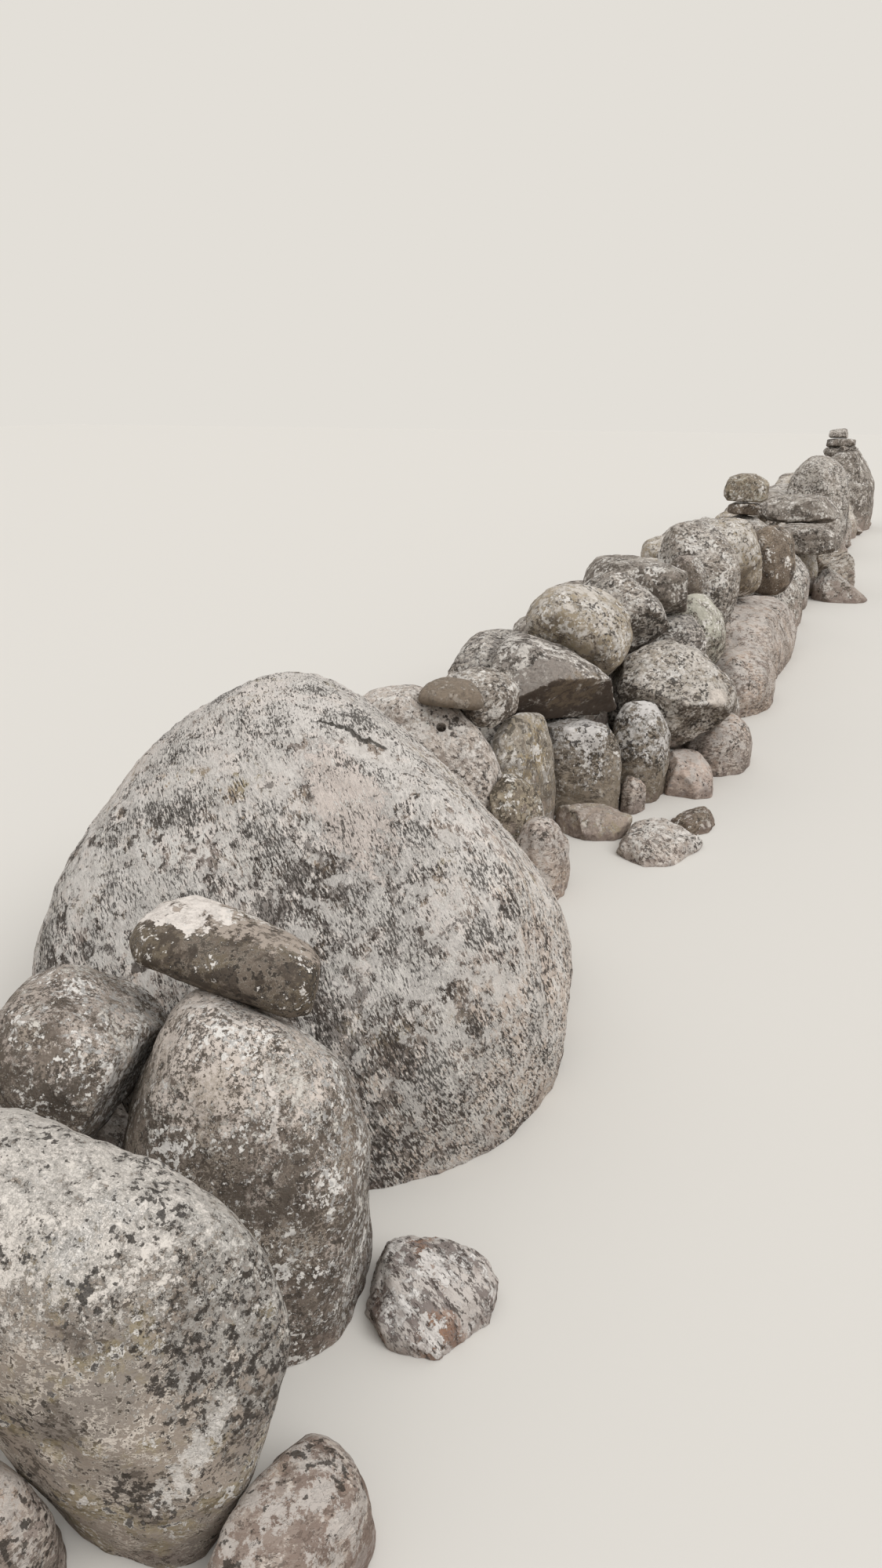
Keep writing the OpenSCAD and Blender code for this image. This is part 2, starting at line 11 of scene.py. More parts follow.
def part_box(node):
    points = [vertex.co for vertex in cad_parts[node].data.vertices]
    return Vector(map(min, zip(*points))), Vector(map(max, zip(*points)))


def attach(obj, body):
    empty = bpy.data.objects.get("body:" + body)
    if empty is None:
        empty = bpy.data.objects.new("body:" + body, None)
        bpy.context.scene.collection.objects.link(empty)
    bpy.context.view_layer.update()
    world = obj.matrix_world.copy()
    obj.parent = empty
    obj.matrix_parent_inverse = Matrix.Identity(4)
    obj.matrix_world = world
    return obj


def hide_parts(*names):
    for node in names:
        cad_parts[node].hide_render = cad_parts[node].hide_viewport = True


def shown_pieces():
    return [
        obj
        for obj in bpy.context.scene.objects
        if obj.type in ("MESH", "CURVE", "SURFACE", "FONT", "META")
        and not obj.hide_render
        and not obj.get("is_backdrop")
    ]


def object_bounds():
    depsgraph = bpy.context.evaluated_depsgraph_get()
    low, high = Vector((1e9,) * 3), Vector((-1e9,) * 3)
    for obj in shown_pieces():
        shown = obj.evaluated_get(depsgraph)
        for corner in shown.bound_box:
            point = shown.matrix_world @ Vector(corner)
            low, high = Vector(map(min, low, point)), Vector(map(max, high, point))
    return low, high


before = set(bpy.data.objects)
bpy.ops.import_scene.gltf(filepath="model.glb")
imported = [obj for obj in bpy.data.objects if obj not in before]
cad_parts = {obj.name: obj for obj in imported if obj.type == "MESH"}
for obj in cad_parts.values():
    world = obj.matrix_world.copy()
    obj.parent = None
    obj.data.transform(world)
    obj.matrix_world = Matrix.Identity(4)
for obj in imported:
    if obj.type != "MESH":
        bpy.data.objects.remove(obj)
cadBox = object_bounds()
bpy.ops.object.select_all(action="DESELECT")
print("frame loaded:", len(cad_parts), "nodes")


def pickOnly(*pieces):
    bpy.ops.object.select_all(action="DESELECT")
    for piece in pieces:
        piece.select_set(True)
    bpy.context.view_layer.objects.active = pieces[0]


def linearColour(hexColour):
    channels = [int(hexColour[k:k + 2], 16) / 255 for k in (1, 3, 5)]
    return [c / 12.92 if c <= 0.04045 else ((c + 0.055) / 1.055) ** 2.4 for c in channels] + [1]


# adds a shader node, sets it and links the inputs that are sockets
def addNode(tree, kind, settings=None, inputs=None):
    node = tree.nodes.new("ShaderNode" + kind)
    for name, value in (settings or {}).items():
        setattr(node, name, value)
    for name, value in (inputs or {}).items():
        if isinstance(value, bpy.types.NodeSocket):
            tree.links.new(value, node.inputs[name])
        else:
            node.inputs[name].default_value = value
    return node


# value times factor plus what it is added to
def addScaled(tree, value, factor, other):
    return addNode(tree, "Math", {"operation": "MULTIPLY_ADD"}, {
        0: value, 1: factor, 2: other}).outputs["Value"]


# how far a vector reaches along a direction
def alongWay(tree, vector, way):
    return addNode(tree, "VectorMath", {"operation": "DOT_PRODUCT"}, {
        0: vector, 1: Vector(way).normalized()}).outputs["Value"]


# cycles per metre of a pattern whose marks are this many millimetres across
def perMm(size):
    return 1000 / size


# turns Z, or X, to look this way
def turnedTo(direction, axis="Z"):
    return Vector(direction).to_track_quat(axis, "Y" if axis == "Z" else "Z").to_euler()


noiseMiddle, noiseSpread = 0.5, 0.135  # of one octave of Blender's noise


# noise with an average of 0 and a spread of about 1, times a weight and added to what is there
def evenNoise(tree, place, sizeMm, detail, rough, weight, other=0.0):
    marks = addNode(tree, "TexNoise", None, {
        "Vector": place, "Scale": perMm(sizeMm), "Detail": detail, "Roughness": rough})
    octaves = [rough ** k for k in range(detail + 1)]
    spread = noiseSpread * math.sqrt(sum(o * o for o in octaves)) / sum(octaves)
    return addScaled(tree, marks.outputs["Fac"], weight / spread,
                     addScaled(tree, 1.0, -noiseMiddle * weight / spread, other))


# one coat of colour over the rock: the size of its marks, the share of the stone that it covers, how soft
# its edge is, how strongly it shows, detail and roughness of its noise, and what else layerMask reads
def coat(colour, sizeMm, cover=0.5, edge=0.3, amount=1.0, detail=4, rough=0.65, **more):
    return dict(colour=colour, sizeMm=sizeMm, cover=cover, edge=edge, amount=amount,
                detail=detail, rough=rough, **more)


# grains of feldspar or mica, drawn several times coarser than the real few millimetres, so that they
# show from some metres away
def grains(colour, sizeMm, cover, edge, amount, reliefMm, alongGrain=True, **crowding):
    return coat(colour, sizeMm, cover, edge, amount, rough=0.75, alongGrain=alongGrain,
                reliefMm=reliefMm, **crowding)


maskLook = {
    "fade": 4.0,  # spreads lost beyond the radii of a coat that keeps to one place
    "clumpDetail": 3, "clumpRough": 0.55,  # noise that crowds the marks
    "wanderDetail": 2, "wanderRough": 0.5,  # noise that bends a vein
}


# how far a coat reaches over the stone, from 0 to its amount; lean, perMetreUp and edge are in spreads
# of the noise, of which 1 is a clear difference and 3 is all or nothing
def layerMask(tree, coords, grain, layer):
    value = -NormalDist().inv_cdf(1 - layer["cover"])
    if "vein" in layer:
        # a sheet through the stone, thicker where the noise is higher; the value is 0 at half its width
        vein = layer["vein"]
        off = addNode(tree, "VectorMath", {"operation": "SUBTRACT"}, {0: coords, 1: vein["at"]})
        side = alongWay(tree, off.outputs["Vector"], vein["across"])
        wander = evenNoise(tree, coords, vein["wanderSizeMm"], maskLook["wanderDetail"],
                           maskLook["wanderRough"], vein["wanderMm"] / 1000, side)
        apart = addNode(tree, "Math", {"operation": "ABSOLUTE"}, {0: wander}).outputs["Value"]
        value = addScaled(tree, apart, -2000 / vein["widthMm"], 1.0)
    if "at" in layer:
        # only round one place on the stone
        shape = addNode(tree, "Mapping", {"vector_type": "TEXTURE"}, {
            "Vector": coords, "Location": layer["at"], "Scale": [r / 1000 for r in layer["radiiMm"]],
            "Rotation": turnedTo(layer.get("along", (1, 0, 0)), "X")})
        far = addNode(tree, "VectorMath", {"operation": "LENGTH"}, {"Vector": shape.outputs["Vector"]})
        past = addScaled(tree, far.outputs["Value"], -maskLook["fade"], maskLook["fade"])
        past = addNode(tree, "Math", {"operation": "MINIMUM"}, {0: past, 1: 0.0}).outputs["Value"]
        value = addScaled(tree, past, 1.0, value)
    clump = layer.get("clump", 0)
    value = evenNoise(tree, grain if layer.get("alongGrain") else coords, layer["sizeMm"], layer["detail"],
                      layer["rough"], layer.get("noise", 1) * math.sqrt(1 - clump * clump), value)
    if clump:
        # marks crowd together here and thin out there
        value = evenNoise(tree, coords, layer["clumpMm"], maskLook["clumpDetail"], maskLook["clumpRough"],
                          clump, value)
    if "towards" in layer:
        # grows on the faces that look this way
        facing = alongWay(tree, addNode(tree, "NewGeometry").outputs["Normal"], layer["towards"])
        value = addScaled(tree, facing, layer["lean"], value)
    if "perMetreUp" in layer:
        # comes or goes with the height above the ground
        height = addNode(tree, "SeparateXYZ", None, {"Vector": coords})
        value = addScaled(tree, height.outputs["Z"], layer["perMetreUp"], value)
    return addNode(tree, "MapRange", {"interpolation_type": "SMOOTHSTEP"}, {
        "Value": value, "From Min": -layer["edge"], "From Max": layer["edge"],
        "To Max": layer["amount"]}).outputs["Result"]


# the weathered surface of every stone: fine tooth, whose crystal faces are a little smoother than the
# crust between them, and the gloss of quartz and feldspar, most of it lost
stoneSurface = {
    "toothDetail": 5, "toothRough": 0.7, "lowTooth": 0.35, "highTooth": 0.65,
    "smoothest": 0.78, "dullest": 0.95, "refraction": 1.54, "gloss": 0.35,
}


# the rock below the coats: its colour, the direction across its layers, how thick they are for their
# breadth, and the tooth of the surface
plainRock = {
    "rock": "#93897e", "layersAcross": (0.2, 0.3, 0.9), "layerShape": 0.6, "toothMm": 11, "toothDepthMm": 4,
}


# stone with its minerals, stains and lichens laid over one another, from the rock outwards
def stoneFinish(name, changes, coats):
    look = {**plainRock, **changes}
    finish = bpy.data.materials.new(name)
    finish.use_nodes = True
    tree = finish.node_tree
    tree.nodes.clear()
    coords = addNode(tree, "TexCoord").outputs["Object"]
    grain = addNode(tree, "Mapping", {"vector_type": "TEXTURE"}, {
        "Vector": coords, "Rotation": turnedTo(look["layersAcross"]), "Scale": (1, 1, look["layerShape"])})
    grain = grain.outputs["Vector"]
    colour = linearColour(look["rock"])
    relief = 0.0
    for layer in coats:
        mask = layerMask(tree, coords, grain, layer)
        colour = addNode(tree, "MixRGB", None, {
            "Fac": mask, "Color1": colour, "Color2": linearColour(layer["colour"])}).outputs["Color"]
        if "reliefMm" in layer:
            relief = addScaled(tree, mask, layer["reliefMm"] / 1000, relief)
    tooth = addNode(tree, "TexNoise", None, {
        "Vector": grain, "Scale": perMm(look["toothMm"]), "Detail": stoneSurface["toothDetail"],
        "Roughness": stoneSurface["toothRough"]}).outputs["Fac"]
    relief = addScaled(tree, tooth, look["toothDepthMm"] / 1000, relief)
    bump = addNode(tree, "Bump", None, {"Height": relief, "Strength": 1.0, "Distance": 1.0})
    dullness = addNode(tree, "MapRange", None, {
        "Value": tooth, "From Min": stoneSurface["lowTooth"], "From Max": stoneSurface["highTooth"],
        "To Min": stoneSurface["smoothest"], "To Max": stoneSurface["dullest"]})
    shader = addNode(tree, "BsdfPrincipled", None, {
        "Base Color": colour, "Roughness": dullness.outputs["Result"], "Normal": bump.outputs["Normal"],
        "IOR": stoneSurface["refraction"], "Specular IOR Level": stoneSurface["gloss"]})
    addNode(tree, "OutputMaterial", None, {"Surface": shader.outputs["BSDF"]})
    return finish


# specks of feldspar and white lichen and specks of mica and black lichen, both drawn coarser than the
# real ones, and patches of crust lichen
whiteFlecks = coat("#e4dfd8", 16, 0.14, 0.25, rough=0.6, clumpMm=90, clump=0.7, reliefMm=0.6)
blackFlecks = coat("#38322c", 14, 0.11, 0.25, 0.85, rough=0.6, clumpMm=110, clump=0.6, reliefMm=-0.9)
paleCrust = coat("#d3ccc3", 42, 0.17, 0.25, 0.85, detail=9, rough=0.8, clumpMm=220, clump=0.5,
                 towards=(-0.2, -0.1, 1), lean=0.8, reliefMm=1.0)
# rock that splashes and rubbing keep clean above the ground
cleanFoot = coat("#ae9e93", 60, 0.93, 0.8, 0.75, detail=8, rough=0.7, perMetreUp=-15.0)
# dust of the ground on the lowest hand's breadth
groundDust = coat("#83726a", 50, 0.7, 0.8, 0.55, detail=7, perMetreUp=-36.0)

# grey gneiss: steep thin layers of feldspar and mica give fine slanting streaks, weathered silvery grey
greyGneiss = stoneFinish("weathered grey gneiss", {
    "rock": "#9a8e85", "layersAcross": (0.4, -0.8, 0.45), "layerShape": 0.26,
    "toothMm": 12, "toothDepthMm": 5}, [
    # warm and olive weathering and greyer fields
    coat("#ae9b82", 330, 0.35, 0.9, 0.7),
    coat("#a49c80", 190, 0.2, 0.8, 0.6, detail=5),
    coat("#857c77", 260, 0.35, 0.9, 0.6),
    # dark crust in fields, widest down the near side
    coat("#564d46", 70, 0.75, 0.55, 0.85, detail=6, rough=0.7, at=(-6.32, -0.33, 0.37),
         along=(-0.12, -0.25, -0.37), radiiMm=(350, 170, 160)),
    coat("#5d534c", 110, 0.27, 0.45, 0.8, detail=7, rough=0.7),
    # bleached crown, and clean pinkish foot at the front
    coat("#e2dad3", 60, 0.15, 0.42, 0.92, detail=7, rough=0.74, towards=(-0.3, 0.55, 0.95), lean=2.1),
    coat("#d3c4b7", 50, 0.86, 0.5, 0.8, detail=7, rough=0.75, towards=(0.25, -0.97, 0.0), lean=2.7,
         perMetreUp=-7.0),
    # feldspar between the mica layers, its streaks drawn coarser than the real ones
    coat("#ece4dc", 20, 0.38, 0.2, 0.85, detail=2, rough=0.7, alongGrain=True, clumpMm=110, clump=0.45,
         reliefMm=0.9),
    coat("#2f2823", 19, 0.3, 0.2, 0.88, detail=2, rough=0.7, alongGrain=True, clumpMm=140, clump=0.5,
         towards=(-0.2, 0.3, 1), lean=-0.4, reliefMm=-1.4),
    # more of the dark crust over the grains there
    coat("#4a423c", 34, 0.6, 0.35, 0.66, detail=5, rough=0.68, at=(-6.32, -0.33, 0.37),
         along=(-0.12, -0.25, -0.37), radiiMm=(370, 180, 160)),
    # dark crust and pale lichens mottle the back flank
    coat("#4b443e", 38, 0.36, 0.3, 0.85, rough=0.62, at=(-6.33, 0.3, 0.47), radiiMm=(200, 230, 200)),
    coat("#e4e0da", 30, 0.33, 0.25, 0.8, rough=0.62, at=(-6.33, 0.3, 0.47), radiiMm=(200, 230, 200),
         reliefMm=0.8),
    # pale crust lichens and the big cream one by the top
    dict(paleCrust, colour="#ddd8d2", detail=6, rough=0.68, cover=0.15, perMetreUp=0.6, amount=0.75),
    coat("#ddd1c8", 30, 0.985, 0.2, 0.85, detail=7, rough=0.8, at=(-6.105, -0.2, 0.695),
         along=(-0.08, -0.12, -0.13), radiiMm=(105, 44, 60), reliefMm=1.2),
    dict(whiteFlecks, cover=0.14, sizeMm=14, rough=0.7, clump=0.55, alongGrain=True),
    dict(blackFlecks, cover=0.12, sizeMm=13, rough=0.7, alongGrain=True),
    # crack in the hollow beside the crest
    coat("#3b362f", 12, 0.5, 0.4, 0.9, noise=0.4, at=(-5.93, -0.13, 0.79), radiiMm=(70, 70, 70),
         vein=dict(at=(-5.93, -0.13, 0.79), across=(0.85, 0.35, -0.2), widthMm=11, wanderMm=5,
                   wanderSizeMm=60), reliefMm=-5.0),
    dict(groundDust, amount=0.35),
])

# dark granite under a brown-black crust, speckled by pale lichens, bare and pinkish on top
darkGranite = stoneFinish("dark lichened granite", {
    "rock": "#786d63", "layersAcross": (0, 0, 1), "layerShape": 0.8, "toothMm": 9, "toothDepthMm": 3}, [
    # brown-black crust
    coat("#544b42", 130, 0.62, 0.9, 0.8, detail=9, rough=0.75),
    # round brown-beige lichens
    coat("#94887c", 50, 0.08, 0.35, 0.7, detail=6, rough=0.7, reliefMm=0.4),
    # bare pale top
    coat("#b9ada3", 60, 0.03, 0.7, 0.85, detail=9, rough=0.85, clumpMm=240, clump=0.4,
         towards=(0.2, -0.2, 1), lean=2.5),
    coat("#d8cdc3", 36, 0.9, 0.6, 0.9, detail=8, rough=0.8, at=(-6.74, -0.33, 0.54),
         radiiMm=(160, 190, 100)),
    # fine beige and dark grains, drawn coarser than the real ones, and a few dark spots
    coat("#b3a799", 8, 0.3, 0.4, 0.7, detail=3, rough=0.8, clumpMm=90, clump=0.5, reliefMm=0.3),
    coat("#39322b", 8, 0.22, 0.35, 0.8, detail=3, rough=0.8, clumpMm=120, clump=0.5, reliefMm=-0.5),
    coat("#463e37", 22, 0.08, 0.25, 0.85),
    # pale crusts and their specks, thicker on the front flank
    coat("#d0cac1", 15, 0.09, 0.22, detail=6, rough=0.82, clumpMm=110, clump=0.55, towards=(0.4, -0.6, 0.6),
         lean=0.5, reliefMm=1.0),
    coat("#e6e2dc", 11, 0.08, 0.22, clumpMm=70, clump=0.6, towards=(0.5, -0.8, 0.3), lean=0.4,
         reliefMm=0.6),
    coat("#bfbcb8", 14, 0.05, 0.25, detail=5, rough=0.75, towards=(0.75, -0.65, 0), lean=1.2, reliefMm=0.5),
    # thin white vein over the top of the tall boulder
    coat("#dcd4cc", 20, 0.5, 0.4, 0.85, noise=0.6, at=(-6.755, -0.36, 0.52), radiiMm=(140, 140, 140),
         vein=dict(at=(-6.745, -0.321, 0.55), across=(0.935, -0.159, -0.318), widthMm=7, wanderMm=4,
                   wanderSizeMm=40), reliefMm=0.8),
    dict(groundDust, amount=0.3),
])

# brown-grey granite under one scalloped cap of cream lichen
loafGranite = stoneFinish("brown granite under cream lichen", {
    "rock": "#6e6358", "layersAcross": (0, 0.3, 1), "layerShape": 0.8, "toothMm": 8, "toothDepthMm": 3}, [
    coat("#6a604c", 90, 0.4, 0.8, 0.5, detail=5),
    # fine beige and dark grains, drawn coarser than the real ones
    coat("#b8ad9f", 9, 0.36, 0.4, 0.8, detail=3, rough=0.8, clumpMm=60, clump=0.4, reliefMm=0.4),
    coat("#3a332b", 9, 0.26, 0.35, 0.85, detail=3, rough=0.8, clumpMm=60, clump=0.4, reliefMm=-0.5),
    # dark soft blots low on the side
    coat("#443b33", 50, 0.35, 0.5, 0.8, detail=7, rough=0.75),
    # grey-pink crust along its back, the cream cap at its upper end and a pale rim along the crest
    coat("#b4a79b", 24, 0.72, 0.5, 0.85, detail=7, rough=0.8, at=(-6.56, -0.25, 0.63),
         along=(0.04, -0.23, -0.06), radiiMm=(180, 62, 45), reliefMm=0.5),
    coat("#ebe3db", 45, 0.93, 0.16, 0.92, detail=5, rough=0.6, at=(-6.605, -0.12, 0.65),
         radiiMm=(48, 62, 50), reliefMm=2.0),
    coat("#9f9389", 14, 0.22, 0.5, 0.3, rough=0.8, at=(-6.605, -0.12, 0.65), radiiMm=(60, 75, 60),
         reliefMm=-0.4),
    coat("#d9d0c7", 20, 0.35, 0.3, 0.85, detail=6, rough=0.78, at=(-6.51, -0.24, 0.62), along=(0, 1, 0),
         radiiMm=(140, 22, 40), reliefMm=0.8),
    dict(blackFlecks, cover=0.08, sizeMm=9), dict(whiteFlecks, cover=0.03, sizeMm=9),
])

# buff granite: feldspar and mica crystals of 5 to 10 mm make it look coarsely salted
buffGranite = stoneFinish("coarse buff granite", {
    "rock": "#a2968a", "layersAcross": (0.6, 0.2, -0.7), "toothMm": 9}, [
    coat("#918a83", 220, 0.35, 0.8, 0.6),
    # pale feldspar and dark mica crystals, drawn a little coarser than the real ones
    coat("#d9cfc3", 11, 0.42, 0.4, 0.9, alongGrain=True, clumpMm=60, clump=0.35, reliefMm=0.7),
    coat("#51473d", 11, 0.2, 0.35, 0.9, alongGrain=True, clumpMm=80, clump=0.4, reliefMm=-1.2),
    # darker smoky clouds and yellowish stains
    coat("#6a6158", 80, 0.12, 0.6, 0.6, detail=9, rough=0.8, clumpMm=260, clump=0.5),
    coat("#a6976c", 90, 0.08, 0.8, 0.4, detail=6, towards=(-1, 0.5, -0.3), lean=0.8),
    # blue-grey lichen with dark mottles round the front shoulder
    coat("#aeaaa4", 22, 0.55, 0.4, 0.8, detail=7, rough=0.8, at=(-7.12, -0.57, 0.36),
         radiiMm=(120, 70, 120), reliefMm=0.5),
    coat("#433d38", 15, 0.3, 0.3, 0.9, detail=5, rough=0.72, at=(-7.13, -0.57, 0.37),
         radiiMm=(150, 90, 150), reliefMm=-0.6),
    # white streak below it
    coat("#e2ddd6", 18, 0.75, 0.4, 0.9, detail=7, rough=0.78, at=(-7.215, -0.53, 0.21),
         along=(0.5, -0.4, 0.8), radiiMm=(70, 18, 18)),
    # black and white crust over the top
    coat("#433c35", 15, 0.006, 0.35, 0.9, detail=6, rough=0.82, towards=(0.45, -0.25, 1), lean=2.4,
         reliefMm=-0.6),
    coat("#e0dbd3", 14, 0.03, detail=6, rough=0.82, clumpMm=90, clump=0.4, towards=(0.45, -0.1, 1),
         lean=2.3, reliefMm=0.8),
    # pale crust on the crown
    coat("#e6dfd6", 26, 0.86, 0.4, 0.9, detail=9, rough=0.85, at=(-7.12, -0.2, 0.55),
         radiiMm=(220, 270, 120), reliefMm=1.0),
    dict(whiteFlecks, cover=0.05, sizeMm=11), dict(blackFlecks, cover=0.05, sizeMm=11),
    dict(groundDust, amount=0.3),
])

# granite of the foot stones: rubbed clean of lichen, so its pinkish feldspar shows under some dust
cleanGranite = stoneFinish("clean pinkish granite", {
    "rock": "#ab9d92", "layersAcross": (0.3, 0.2, 0.9), "layerShape": 0.4,
    "toothMm": 9, "toothDepthMm": 3}, [
    coat("#978b83", 150, 0.4, 0.7, 0.8, detail=6),
    coat("#b8a392", 210, 0.3, 0.7, 0.7, detail=6),
    grains("#d0c5ba", 24, 0.38, 0.35, 0.8, 0.6),
    grains("#63584f", 22, 0.2, 0.3, 0.8, -1.2, clumpMm=130, clump=0.4),
    coat("#7c7067", 90, 0.15, 0.4, 0.6, detail=8, rough=0.75),
    # pinker and smoother at the foot of the broad boulder, browner at the near end of the wall
    coat("#d2beb2", 40, 0.9, 0.6, 0.5, detail=6, rough=0.7, at=(-3.85, -0.47, 0.08),
         radiiMm=(170, 120, 150)),
    coat("#806e63", 60, 0.75, 0.6, 0.75, detail=8, rough=0.75, at=(-7.2, -0.66, 0.1),
         radiiMm=(260, 150, 150)),
    coat("#cac3bc", 50, 0.14, 0.3, 0.75, detail=8, rough=0.78, towards=(0, 0, 1), lean=0.7, perMetreUp=2.0),
    dict(blackFlecks, cover=0.05), groundDust,
])

# pale granite: little mica, so the pinkish cream of its feldspar lights up the gaps
paleGranite = stoneFinish("pale cream granite", {
    "rock": "#bfb3a8", "layersAcross": (0.2, -0.5, 0.8), "layerShape": 0.5, "toothMm": 10}, [
    coat("#9c9188", 170, 0.3, 0.7, 0.75, detail=6),
    grains("#dcd3ca", 24, 0.48, 0.3, 0.85, 0.9),
    grains("#5b5149", 22, 0.13, 0.25, 0.85, -1.5, clumpMm=150, clump=0.4),
    dict(paleCrust, colour="#e0dad3", cover=0.22),
    coat("#85786d", 60, 0.12, 0.4, 0.6, detail=8, rough=0.75),
    dict(whiteFlecks, cover=0.08), dict(blackFlecks, cover=0.08), dict(groundDust, amount=0.4),
])

# split stone of vein quartz: broken white faces with grey-purple mica and rust between them
splitQuartz = stoneFinish("split white quartz", {
    "rock": "#ccc4bd", "layersAcross": (0.7, -0.4, 0.3), "layerShape": 0.35, "toothMm": 12}, [
    coat("#7b706b", 90, 0.36, 0.2, 0.85, detail=7, rough=0.7, alongGrain=True, reliefMm=-1.5),
    coat("#a3785a", 80, 0.22, 0.5, 0.7, detail=6),
    coat("#e6e2dd", 40, 0.35, 0.25, 0.9, detail=7, rough=0.75, reliefMm=1.0),
    grains("#4e443e", 26, 0.14, 0.25, 0.85, -1.5),
    dict(groundDust, amount=0.5),
])

# grey granite of most of the stones: salt-and-pepper grains under crusts of white and grey lichen
greyRock = {"rock": "#93897e", "layerShape": 0.5, "toothMm": 13, "toothDepthMm": 5}
greyGranite = stoneFinish("lichened grey granite", greyRock, [
    # each stone a little warmer, darker or cooler than the next
    coat("#a29280", 700, 0.35, 0.9, 0.7, detail=2),
    coat("#6f665d", 560, 0.33, 0.9, 0.65, detail=2),
    coat("#908c88", 480, 0.3, 0.9, 0.7, detail=2),
    coat("#b3aa9c", 120, 0.85, 0.9, 0.65, at=(-3.8, -0.3, 0.38), radiiMm=(330, 300, 250)),
    grains("#cbc2b8", 26, 0.42, 0.3, 0.85, 1.0, clumpMm=120, clump=0.4),
    grains("#433c35", 24, 0.25, 0.28, 0.87, -1.8, clumpMm=130, clump=0.45),
    # browner and darker on the faces that look down: painted shade
    coat("#5f5449", 80, 0.1, 0.6, 0.7, detail=9, rough=0.75, towards=(-0.1, -0.2, -1), lean=1.6),
    dict(paleCrust, cover=0.17),
    dict(whiteFlecks, cover=0.17), dict(blackFlecks, cover=0.1), cleanFoot,
    # bare cream chip on the shoulder of the broad boulder
    coat("#dbd1c6", 20, 0.9, 0.3, 0.95, noise=0.9, at=(-3.75, -0.57, 0.385), radiiMm=(46, 36, 26),
         reliefMm=-1.0),
    groundDust,
])

# the same rock, warmer and barer: fewer dark grains and lichens show more of its beige
warmGranite = stoneFinish("warm grey granite", {
    **greyRock, "rock": "#a1947f", "layersAcross": (-0.4, 0.5, 0.7)}, [
    coat("#b3a692", 300, 0.5, 0.9, 0.7, detail=3),
    grains("#d1c7ba", 20, 0.4, 0.35, 0.8, 0.8, alongGrain=False, clumpMm=100, clump=0.4),
    grains("#50473c", 20, 0.16, 0.3, 0.85, -1.4, alongGrain=False, clumpMm=120, clump=0.5),
    # browner and darker on the faces that look down: painted shade
    coat("#6a5e50", 80, 0.1, 0.6, 0.7, detail=9, rough=0.75, towards=(-0.1, -0.2, -1), lean=1.8),
    dict(paleCrust, cover=0.15),
    dict(whiteFlecks, cover=0.12), dict(blackFlecks, cover=0.06),
    cleanFoot, groundDust,
])

# the same rock under a thicker dark crust, through which few grains show
duskGranite = stoneFinish("dark crusted grey granite", {
    **greyRock, "rock": "#887f75", "layersAcross": (0.6, -0.3, 0.7)}, [
    grains("#a49a90", 18, 0.4, 0.35, 0.8, 0.8),
    coat("#544c44", 60, 0.36, 0.4, 0.8, detail=9, rough=0.8, reliefMm=-1.0),
    coat("#b4aca2", 45, 0.1, 0.3, 0.85, detail=9, rough=0.8, clumpMm=200, clump=0.4, towards=(-0.1, 0, 1),
         lean=1.6, reliefMm=1.0),
    dict(whiteFlecks, cover=0.16), dict(blackFlecks, cover=0.1),
    cleanFoot, groundDust,
])

# grey granite of the overhanging cap: crusted on top, bare grey below that, dark brown underneath, where
# painted shade darkens it further
capGranite = stoneFinish("crusted grey cap granite", {
    "rock": "#918981", "layersAcross": (0.5, 0.4, 0.5), "layerShape": 0.5, "toothMm": 12}, [
    coat("#a39a91", 160, 0.4, 0.6, 0.7, detail=5),
    grains("#c2bab1", 18, 0.36, 0.35, 0.75, 0.6, clumpMm=140, clump=0.5),
    grains("#4b443d", 18, 0.18, 0.3, 0.85, -1.2, clumpMm=140, clump=0.5),
    # lichens on the crown, crisp and pale, with dark ones between them
    coat("#4c453e", 40, 0.03, 0.3, 0.85, detail=8, rough=0.78, towards=(-0.1, 0.3, 1), lean=1.9,
         reliefMm=-0.6),
    coat("#d8d2ca", 50, 0.04, 0.25, 0.9, detail=8, rough=0.75, towards=(-0.3, 0.2, 1), lean=1.8,
         reliefMm=1.0),
    dict(whiteFlecks, cover=0.12), dict(blackFlecks, cover=0.08),
    # smooth bare panel below the crown
    coat("#988f87", 24, 0.95, 0.4, 0.88, at=(-4.345, -0.05, 0.555), along=(0.086, -0.07, 0.02),
         radiiMm=(100, 50, 42)),
    # the broken underside: dark brown rock under painted shade on the faces that look down and forward, and
    # a paler patch of painted light where light falls in
    coat("#50443a", 60, 0.02, 0.5, 0.94, detail=8, rough=0.7, noise=0.8, towards=(-0.55, -0.4, -0.75),
         lean=3.4),
    coat("#857662", 26, 0.7, 0.7, 0.6, detail=6, rough=0.7, at=(-4.21, -0.13, 0.47), radiiMm=(110, 90, 60)),
])

# grey granite: iron in it weathers to ochre stains, which yellow it between pale lichens
yellowGranite = stoneFinish("ochre-stained granite", {"rock": "#9f9587"}, [
    coat("#ac986f", 120, 0.4, 0.7, 0.55, detail=6),
    grains("#cdc4b5", 24, 0.42, 0.3, 0.85, 0.8, alongGrain=False),
    grains("#494137", 24, 0.24, 0.28, 0.85, -1.4, alongGrain=False, clumpMm=130, clump=0.4),
    dict(paleCrust, cover=0.16),
    dict(whiteFlecks, cover=0.16),
    # darker and browner towards the bottom, below the shoulder of its neighbour: painted shade
    coat("#665c50", 40, 0.9985, 0.6, 0.6, detail=8, rough=0.75, perMetreUp=-11.0),
    dict(cleanFoot, amount=0.4),
    groundDust,
])

